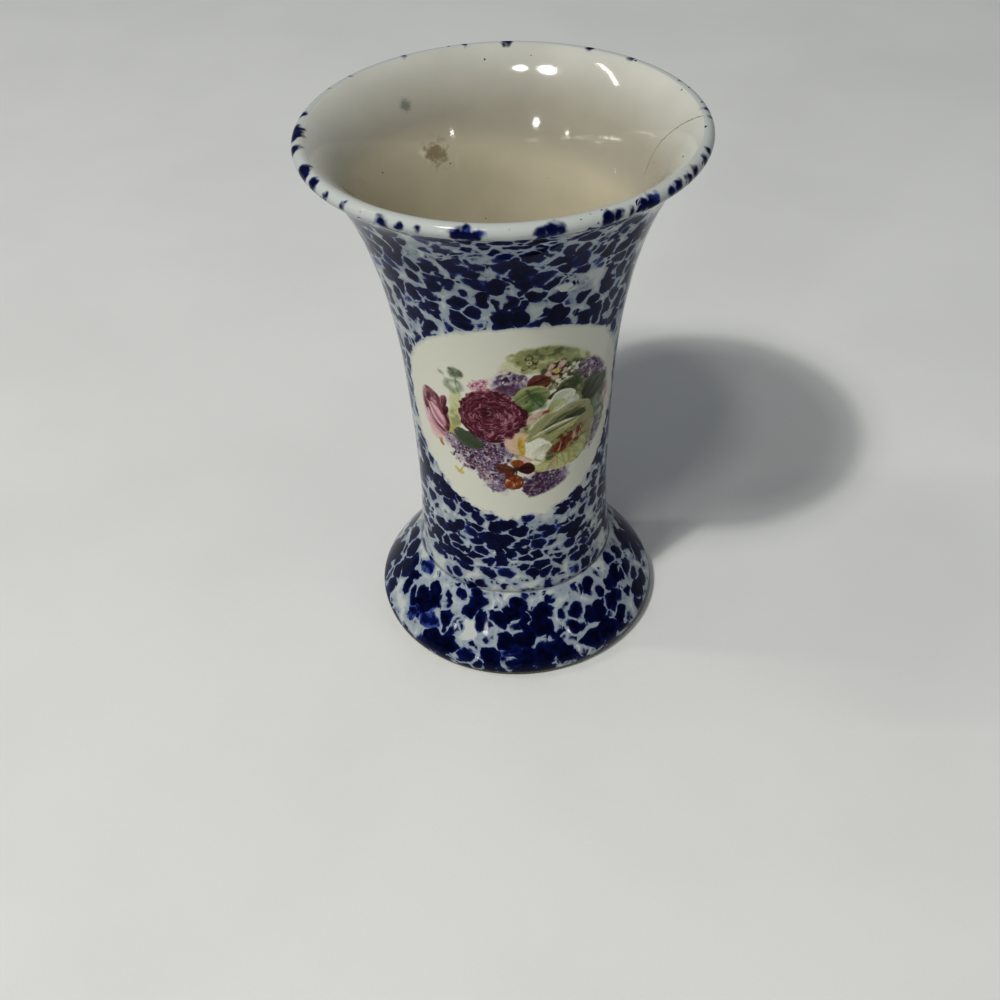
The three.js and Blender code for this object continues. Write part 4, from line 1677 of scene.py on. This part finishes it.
    # A half-open cream rose seen from its side, with a warm brown heart, stamens and folds.
    cream_rose: tuple[Motif, ...] = (
        Dab((10.8, 66.7), (21.6, 16.6), Ink.CREAM, Ink.OLIVE, 12, 0.0, 2.0, 0.5, 0.05, 1.0),
        Petal((12.0, 66.0), (21.4, 72.4), 9.0, Ink.CREAM, Ink.OLIVE, None, -0.8, 0.6),
        Petal((14.0, 65.4), (21.8, 65.4), 9.6, Ink.CREAM, Ink.MOSS, Ink.PEACH, 0, 0.6, strokes=0.6),
        Petal((13.0, 65.0), (18.4, 59.4), 8.0, Ink.LIME, Ink.OLIVE, Ink.CREAM, 0.3, 0.6, strokes=0.8),
        Petal((11.6, 64.6), (12.6, 57.9), 8.0, Ink.LIME, Ink.OLIVE, Ink.BUTTER, 0.0, 0.6, strokes=0.9),
        Petal((9.6, 65.0), (6.0, 58.8), 6.6, Ink.LIME, Ink.OLIVE, Ink.PEACH, 0.3, 0.6, strokes=0.9),
        Petal((7.4, 68.4), (-1.8, 68.4), 6.6, Ink.SHELL, Ink.BUTTER, Ink.PEACH, 0.3, 0.62, strokes=0.35),
        Petal((6.4, 66.6), (1.8, 61.4), 4.6, Ink.SHELL, Ink.PEACH, Ink.WHITE, 0.2, 0.62, strokes=0.35),
        Petal((4.2, 68.6), (12.4, 75.4), 6.4, Ink.CREAM, Ink.OLIVE, Ink.WHITE, 0.9, strokes=0.8),
        Petal((6.0, 69.4), (20.6, 74.4), 7.2, Ink.CREAM, Ink.MOSS, Ink.LIME, 1.1, 0.55, strokes=0.8),
        Petal((7.6, 70.0), (19.2, 72.4), 4.6, Ink.MOSS, Ink.UMBER, Ink.OLIVE, 0.6, 0.7, strokes=0.4,
              strength=0.9),
        Petal((3.2, 68.2), (20.2, 70.0), 4.2, Ink.LIME, Ink.OLIVE, Ink.WHITE, 1.2, 0.55, strokes=0.7),
        Petal((15.4, 68.0), (21.4, 70.8), 4.4, Ink.CREAM, Ink.OLIVE, None, 0.3, strokes=0.7),
        Dab((6.2, 65.6), (7.8, 6.4), Ink.WHITE, None, -14, 0, 1, 0.5, 0.1, 1.0),
        Petal((8.8, 66.6), (5.0, 61.2), 4.4, Ink.WHITE, Ink.CREAM, None, 0.2, strokes=0.2, strength=0.9),
        Dab((2.1, 67.2), (1.7, 5.4), Ink.OCHRE, Ink.BUTTER, 8, 0.0, 0.8, 0.5, 0.12, 0.9),
        Dab((10.0, 63.9), (3.0, 5.4), Ink.OLIVE, Ink.MOSS, -34, 0.1, 0.8, 0.6, 0.2, 0.8),
        Dab((14.0, 66.2), (11.0, 5.6), Ink.OLIVE, Ink.RUST, 26, -0.1, 0.9, 0.9, 0.2, 0.85),
        Dab((12.4, 65.2), (5.6, 3.2), Ink.AMBER, Ink.RUST, 26, 0.1, 0.6, 0.5, 0.3, 0.85),
        Dab((16.4, 67.0), (4.0, 3.2), Ink.PEACH, Ink.RUST, 24, 0.0, 0.8, 0.6, 0.3, 0.75),
        *(Stroke(((10.4 + 1.05 * n, 63.3 + 0.5 * n), (10.9 + 1.05 * n, 64.2 + 0.5 * n),
                  (11.0 + 1.05 * n, 65.4 + 0.5 * n + 0.4 * (n % 3))), ink, 0.45, 0.75)
          for n, ink in enumerate((Ink.RUST, Ink.SHELL, Ink.UMBER, Ink.AMBER) * 2)),
        Stroke(((3.4, 69.4), (7.0, 71.6), (11.6, 74.6)), Ink.OLIVE, 0.5, 0.6),
        Stroke(((3.0, 70.8), (6.6, 73.4), (9.6, 74.8)), Ink.OLIVE, 0.4, 0.5),
        Stroke(((8.4, 70.0), (12.6, 71.4), (19.0, 72.2)), Ink.UMBER, 0.6, 0.5, 0.5),
        Stroke(((3.0, 68.9), (8.6, 70.0), (14.6, 70.2), (18.8, 68.4)), Ink.OLIVE, 0.45, 0.6),
        Stroke(((9.6, 63.4), (13.0, 61.8), (18.0, 62.8), (20.4, 67.8)), Ink.OLIVE, 0.5, 0.55),
        Stroke(((5.4, 62.8), (7.4, 61.0), (10.0, 60.4)), Ink.OCHRE, 0.5, 0.6),
        Stroke(((10.8, 62.2), (12.0, 60.6), (13.6, 58.8)), Ink.OCHRE, 0.4, 0.5),
        Stroke(((14.6, 62.2), (15.8, 61.8), (17.0, 60.8)), Ink.OLIVE, 0.4, 0.5),
        Stroke(((0.2, 69.8), (0.6, 66.0), (2.2, 62.4)), Ink.PEACH, 0.6, 0.7, 0.5),
        Stroke(((2.6, 64.0), (4.8, 62.0), (7.6, 62.0)), Ink.CREAM, 0.4, 0.7))
    # A small orange cup under four brown petals.
    orange_flower: tuple[Motif, ...] = (
        Petal((0.6, 60.0), (-4.2, 61.0), 2.8, Ink.RUST, Ink.UMBER, Ink.AMBER, 0.2, 0.6, 0.6, 0.8, 0.85),
        Petal((0.8, 60.2), (1.2, 63.2), 3.2, Ink.AMBER, Ink.RUST, Ink.OCHRE, 0.0, 0.6, 0.6, 0.8, 0.9),
        Petal((1.0, 60.0), (5.4, 59.8), 3.6, Ink.WINE, Ink.WINE, Ink.RUST, 0.3, 0.6, 0.6, 0.8, 0.9),
        Petal((0.6, 60.0), (-1.8, 57.8), 2.2, Ink.RUST, Ink.UMBER, None, 0.0, 0.6, 0.6, 0.8, 0.9),
        Dab((0.6, 60.2), (1.4, 1.2), Ink.UMBER, None, 0, 0, 1, 0.4, 0.2, 0.8),
        Stroke(((0.8, 59.8), (0.9, 58.9), (0.6, 58.0)), Ink.UMBER, 0.5, 0.8),
        Dab((0.1, 56.0), (5.0, 4.7), Ink.RUST, None, 10, 0, 1, 0.35, 0.08, 0.95),
        Dab((0.0, 56.0), (4.3, 4.0), Ink.AMBER, Ink.PEACH, 10, -0.5, 1.0, 0.4, 0.08, 1.0),
        Stroke(((-1.5, 57.6), (0.2, 55.6), (2.0, 57.6)), Ink.RUST, 0.5, 0.8),
        Stroke(((0.3, 57.8), (0.1, 56.0), (0.8, 54.3)), Ink.RUST, 0.5, 0.75))
    rose: Rose = Rose((-4.7, 76.4), (15.4, 15.0), (-0.12, 0.14), (0.36, -0.14))

    def motifs(self) -> tuple[Motif, ...]:
        """Everything in it, from back to front."""
        return (*self.foliage, *self.small_flowers, *self.leaves, *self.bud, *self.cream_rose,
                *self.orange_flower, self.rose)


@dataclass(frozen=True)
class PrintFilm(Finish):
    """Printed enamel colours fired into the glaze: as glossy as the glaze, with a fine stipple in the ink."""

    name: str = "fired_printed_enamel"
    stipple: float = 0.28
    darkest: float = -0.22
    lightest: float = 0.04

    def shade(self, wall: Wall) -> Node:
        """Builds the shader.

        Args:
            wall: The material's tree.

        Returns:
            Its last node.
        """
        ink = wall.put("Attribute", attribute_type="GEOMETRY", attribute_name="ink").outputs
        grain = wall.put("TexNoise", wall.point, Scale=1 / self.stipple, Detail=1.0)
        speckle = wall.put("MapRange", grain, 0.3, 0.7, self.darkest, self.lightest)
        shift = wall.put("Math.MULTIPLY_ADD", speckle, ink["Alpha"], 1.0)
        return wall.fired_gloss(wall.put("VectorMath.SCALE", ink["Color"], shift))


def hand_over(piece: Object, slot: str, *nodes: str) -> None:
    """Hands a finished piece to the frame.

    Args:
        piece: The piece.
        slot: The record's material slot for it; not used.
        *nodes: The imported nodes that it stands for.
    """
    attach(piece, BODY)
    for node in nodes:
        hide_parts(node)
    stands_for = ", ".join(nodes) or "itself"
    log.info("%s: %d faces, stands for %s", piece.name, len(piece.data.polygons), stands_for)


@dataclass
class ClayParts:
    """The clay: a smooth foot, and the body and its slip ring as packed."""

    form: VaseForm
    trees: Trees
    steps: int = 20

    def foot(self) -> Object:
        """Turns the hollow foot.

        Returns:
            The foot.
        """
        form = self.form
        bare = form.foot_edge(np.linspace(-math.pi / 2, form.glaze_line, 7))
        outline = np.concatenate([
            bare, form.tuck(4)[0][1:], form.slope(self.steps)[0][1:], form.hollow(self.steps), bare[:1]])
        return turn_round("foot_clay", outline, self.trees, BareFoot().material())

    def dress(self) -> None:
        """Builds the foot and finishes the packed clay nodes."""
        hand_over(self.foot(), "bare_clay", "foot")
        for node in ("body", "luting_slip"):
            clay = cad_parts[node]
            clay.data.materials.clear()
            clay.data.materials.append(BiscuitClay().material())
            log.info("%s: kept as packed, biscuit finish", node)


@dataclass
class Glazes:
    """Both glazes: the sponged one outside and the cream one inside, which meet just inside the lip."""

    form: VaseForm
    trees: Trees
    meeting: float = 112.0
    steps: int = 30
    lip_steps: int = 14

    def outer(self) -> Object:
        """Turns the sponged glaze, with a round bead where it ends above the bare edge.

        Returns:
            The glaze shell.
        """
        form = self.form
        face = form.outside(form.glaze, self.steps)
        clay = form.outside(0.0, self.steps // 2)
        crown = form.lip_arc(form.glaze, -form.lip_angle, self.meeting, self.lip_steps)[1:]
        under = form.lip_arc(0.0, -form.lip_angle, self.meeting, self.lip_steps // 2)[1:]
        middle, half = (clay[0] + face[0]) / 2, (face[0] - clay[0]) / 2
        turn = np.linspace(0.0, math.pi, 7)[1:-1, None]
        bead = middle - np.cos(turn) * half + np.sin(turn) * (half[1], -half[0])
        outline = np.concatenate([face, crown, under[::-1], clay[::-1], bead, face[:1]])
        return turn_round("outer_glaze_shell", outline, self.trees, SpongedGlaze(form).material())

    def inner(self) -> Object:
        """Turns the cream glaze.

        Returns:
            The glaze shell.
        """
        form = self.form
        end = 180.0 - form.lip_angle
        face, clay = (
            np.concatenate([form.lip_arc(extra, self.meeting, end, 3)[:-1], form.interior(extra, steps)])
            for extra, steps in ((form.glaze, self.steps), (0.0, self.steps // 2)))
        outline = np.concatenate([clay[::-1], face])
        return turn_round("inner_glaze_shell", outline, self.trees, CreamGlaze(form).material())

    def dress(self) -> None:
        """Builds both glazes."""
        hand_over(self.outer(), "sponged_glaze", "outer_glaze")
        hand_over(self.inner(), "cream_glaze", "inner_glaze")


@dataclass
class PrintedSpray:
    """The oval film of printed flowers on the front."""

    form: VaseForm
    trees: Trees
    width: float = 46.0
    height: float = 48.0
    centre_rise: float = 54.0
    turned: float = 5.0
    bulge: float = 0.8
    thickness: float = 0.02
    fade: float = 0.05
    cells: int = 280
    coarse: int = 8

    def dress(self) -> None:
        """Builds the film and paints it."""
        hand_over(self.film(), "print", "printed_spray")

    def film(self) -> Object:
        """Lays the film round the wall as a thin closed skin, fine in front and coarse behind.

        Returns:
            The film.
        """
        count = self.cells
        line = np.linspace(-1.0, 1.0, count + 1)
        u, v = np.meshgrid(line, line)
        x = (u * np.sqrt(1 - v * v / 2) * self.width / 2).ravel()
        up = (v * np.sqrt(1 - u * u / 2) * self.height / 2 + self.form.body_base + self.centre_rise).ravel()
        radius = np.interp(up, *self.form.outside_line())
        azimuth = np.arcsin(x / (radius + self.bulge)) + math.radians(self.turned)
        top, back = (np.stack([np.sin(azimuth) * out, -np.cos(azimuth) * out, up], axis=1)
                     for out in (radius + self.thickness, radius))
        number = np.arange((count + 1) ** 2).reshape(count + 1, count + 1)
        corners = (number[:-1, :-1], number[:-1, 1:], number[1:, 1:], number[1:, :-1])
        faces = np.stack(corners, axis=-1).reshape(-1, 4).tolist()
        kept = np.zeros((count + 1, count + 1), bool)
        kept[::self.coarse, ::self.coarse] = True
        kept[[0, -1], :] = kept[:, [0, -1]] = True
        behind = np.full(number.shape, -1)
        behind[kept] = number.size + np.arange(kept.sum())
        faces += [self.cell(behind, row, column)
                  for row in range(0, count, self.coarse) for column in range(0, count, self.coarse)]
        near, far = (np.concatenate([side[0, :-1], side[:-1, -1], side[-1, :0:-1], side[:0:-1, 0]])
                     for side in (number, behind))
        faces += np.stack([np.roll(near, -1), near, far, np.roll(far, -1)], axis=1).tolist()
        mesh = bpy.data.meshes.new("print_film")
        mesh.from_pydata((np.concatenate([top, back[kept.ravel()]]) * MM).tolist(), [], faces)
        mesh.materials.append(PrintFilm().material())
        piece = grown("print_film", self.trees.hand_thrown, {}, mesh)
        close_and_face_out(piece.data)
        self.paint(piece.data)
        return piece

    def cell(self, behind: np.ndarray, row: int, column: int) -> list[int]:
        """The corners of one coarse cell of the back, with every point that it has on the rim.

        Args:
            behind: Numbers of the back's points, -1 where there is none.
            row: The cell's first row.
            column: Its first column.

        Returns:
            The point numbers in order.
        """
        low, high, left, right = row, row + self.coarse, column, column + self.coarse
        loop = np.concatenate([behind[low:high, left], behind[high, left:right], behind[high:low:-1, right],
                               behind[low, right:left:-1]])
        return loop[loop >= 0].tolist()

    def paint(self, mesh: Mesh) -> None:
        """Paints the spray into the film's points, with how fully ink covers each in the alpha.

        Args:
            mesh: The film's mesh.
        """
        count = len(mesh.vertices)
        points = np.empty(count * 3)
        mesh.vertices.foreach_get("co", points)
        x, y, z = points.reshape(-1, 3).T / MM
        turn, bare = np.arctan2(x, -y), Ink.GLAZE.colour
        canvas = Canvas(turn * FRONT_RADIUS, z, np.tile(bare, (count, 1)), np.zeros(count))
        for motif in RoseSpray().motifs():
            motif.paint_on(canvas)
        radius = np.interp(z, *self.form.outside_line())
        aside = (radius + self.bulge) * np.sin(turn - math.radians(self.turned))
        high = z - self.form.body_base - self.centre_rise
        kept = ease((1 - np.hypot(aside / (self.width / 2), high / (self.height / 2))) / self.fade)[:, None]
        colours = np.hstack([to_linear(bare + (canvas.colour - bare) * kept), canvas.cover[:, None] * kept])
        ink = mesh.color_attributes.new("ink", "FLOAT_COLOR", "POINT")
        ink.data.foreach_set("color", colours.astype(np.float32).ravel())


@dataclass
class GlazeFaults:
    """Iron specks burnt into the inside glaze."""

    trees: Trees
    per_square_metre: float = 3200.0
    smallest: float = 0.10
    largest: float = 0.26
    seed: int = 5

    def dress(self, surface: Object) -> None:
        """Strews the specks over the glaze.

        Args:
            surface: The inside glaze.
        """
        specks = grown("iron_specks", self.trees.strewn, {
            "Surface": surface, "Per square metre": self.per_square_metre, "Smallest": self.smallest * MM,
            "Largest": self.largest * MM, "Seed": self.seed, "Finish": KilnGrit().material()})
        hand_over(specks, "cream_glaze")


@dataclass(frozen=True)
class PhotoView:
    """The camera as the photograph was taken: millimetres and degrees."""

    stand_off: float = 264.9
    height: float = 259.5
    pitch: float = 40.99
    roll: float = 2.36
    pan: float = -0.81
    lens: float = 47.66
    sensor: float = 36.0
    nearest: float = 10.0

    def set_up(self) -> None:
        """Makes the camera the scene's own."""
        pitch, roll, pan = (math.radians(a) for a in (self.pitch, self.roll, self.pan))
        ahead = Vector((math.sin(pan) * math.cos(pitch), math.cos(pan) * math.cos(pitch), -math.sin(pitch)))
        level = Vector((math.cos(pan), -math.sin(pan), 0.0))
        below = ahead.cross(level)
        right = level * math.cos(roll) + below * math.sin(roll)
        down = below * math.cos(roll) - level * math.sin(roll)
        data = bpy.data.cameras.new("photo_view")
        data.lens, data.sensor_width, data.clip_start = self.lens, self.sensor, self.nearest * MM
        camera = link("photo_view", data)
        turned = Matrix((right, -down, -ahead)).transposed().to_4x4()
        camera.matrix_world = Matrix.Translation((0.0, -self.stand_off * MM, self.height * MM)) @ turned
        bpy.context.scene.camera = camera


@dataclass(frozen=True)
class Lamp:
    """A soft lamp aimed at the vase, round or tall: direction in degrees, distance and sizes in metres."""

    name: str
    azimuth: float
    elevation: float
    distance: float
    size: float
    watts: float
    tall: float = 0.0
    colour: str = "#fffdf8"

    def hang(self, target: Vector) -> None:
        """Hangs the lamp.

        Args:
            target: What it points at.
        """
        turn, rise = math.radians(self.azimuth), math.radians(self.elevation)
        away = Vector((math.sin(turn) * math.cos(rise), -math.cos(turn) * math.cos(rise), math.sin(rise)))
        data = bpy.data.lights.new(self.name, "AREA")
        data.shape = "RECTANGLE" if self.tall else "DISK"
        data.size = self.size
        data.size_y = self.tall or self.size
        data.energy = self.watts
        data.color = linear(self.colour)[:3]
        lamp = link(self.name, data)
        lamp.location = target + away * self.distance
        lamp.rotation_euler = away.to_track_quat("Z", "Y").to_euler()


@dataclass
class Studio:
    """The plain pale floor, soft lamps and soft surrounding light, in metres."""

    floor_size: float = 8.0
    aim: tuple[float, float, float] = (0.0, 0.0, 0.06)
    surround: str = "#c9cdd3"
    surround_strength: float = 0.265
    lamps: tuple[Lamp, ...] = (
        Lamp("main_lamp", -42.0, 57.0, 1.9, 0.26, 8.4),
        Lamp("main_bulb", -42.0, 57.0, 1.85, 0.07, 4.9),
        Lamp("second_lamp", -18.0, 60.0, 1.9, 0.20, 3.0),
        Lamp("side_window", -94.0, 50.0, 1.6, 0.06, 1.4, 0.5),
        Lamp("low_lamp", -28.0, 24.0, 1.5, 0.09, 0.7),
        Lamp("lower_lamp", -31.0, 6.0, 1.5, 0.08, 0.4),
        Lamp("left_bulb", -54.0, 18.0, 1.5, 0.04, 0.2),
        Lamp("right_bulb", 42.0, 20.0, 1.5, 0.04, 0.2))

    def set_up(self) -> None:
        """Lays the floor and lights the scene."""
        half = self.floor_size / 2
        mesh = bpy.data.meshes.new("floor")
        mesh.from_pydata([(x * half, y * half, 0.0) for x, y in ((-1, -1), (1, -1), (1, 1), (-1, 1))],
                         [], [(0, 1, 2, 3)])
        mesh.materials.append(TableCloth().material())
        link("floor", mesh)
        for lamp in self.lamps:
            lamp.hang(Vector(self.aim))
        scene = bpy.context.scene
        scene.world = bpy.data.worlds.new("surround")
        scene.world.use_nodes = True
        scene.world.node_tree.nodes.clear()
        graph = Graph(scene.world.node_tree)
        graph.put("OutputWorld", graph.put("Background", self.surround, self.surround_strength))
        scene.view_settings.view_transform = "Standard"
        scene.view_settings.look = "High Contrast"


def main() -> None:
    """Builds the vase, the camera and the studio."""
    logging.basicConfig(level=logging.INFO, format="%(name)s: %(message)s", stream=sys.stdout)
    form = VaseForm()
    trees = Trees()
    PhotoView().set_up()
    Studio().set_up()
    ClayParts(form, trees).dress()
    Glazes(form, trees).dress()
    PrintedSpray(form, trees).dress()
    GlazeFaults(trees).dress(bpy.data.objects["inner_glaze_shell"])


if __name__ == "__main__":
    main()
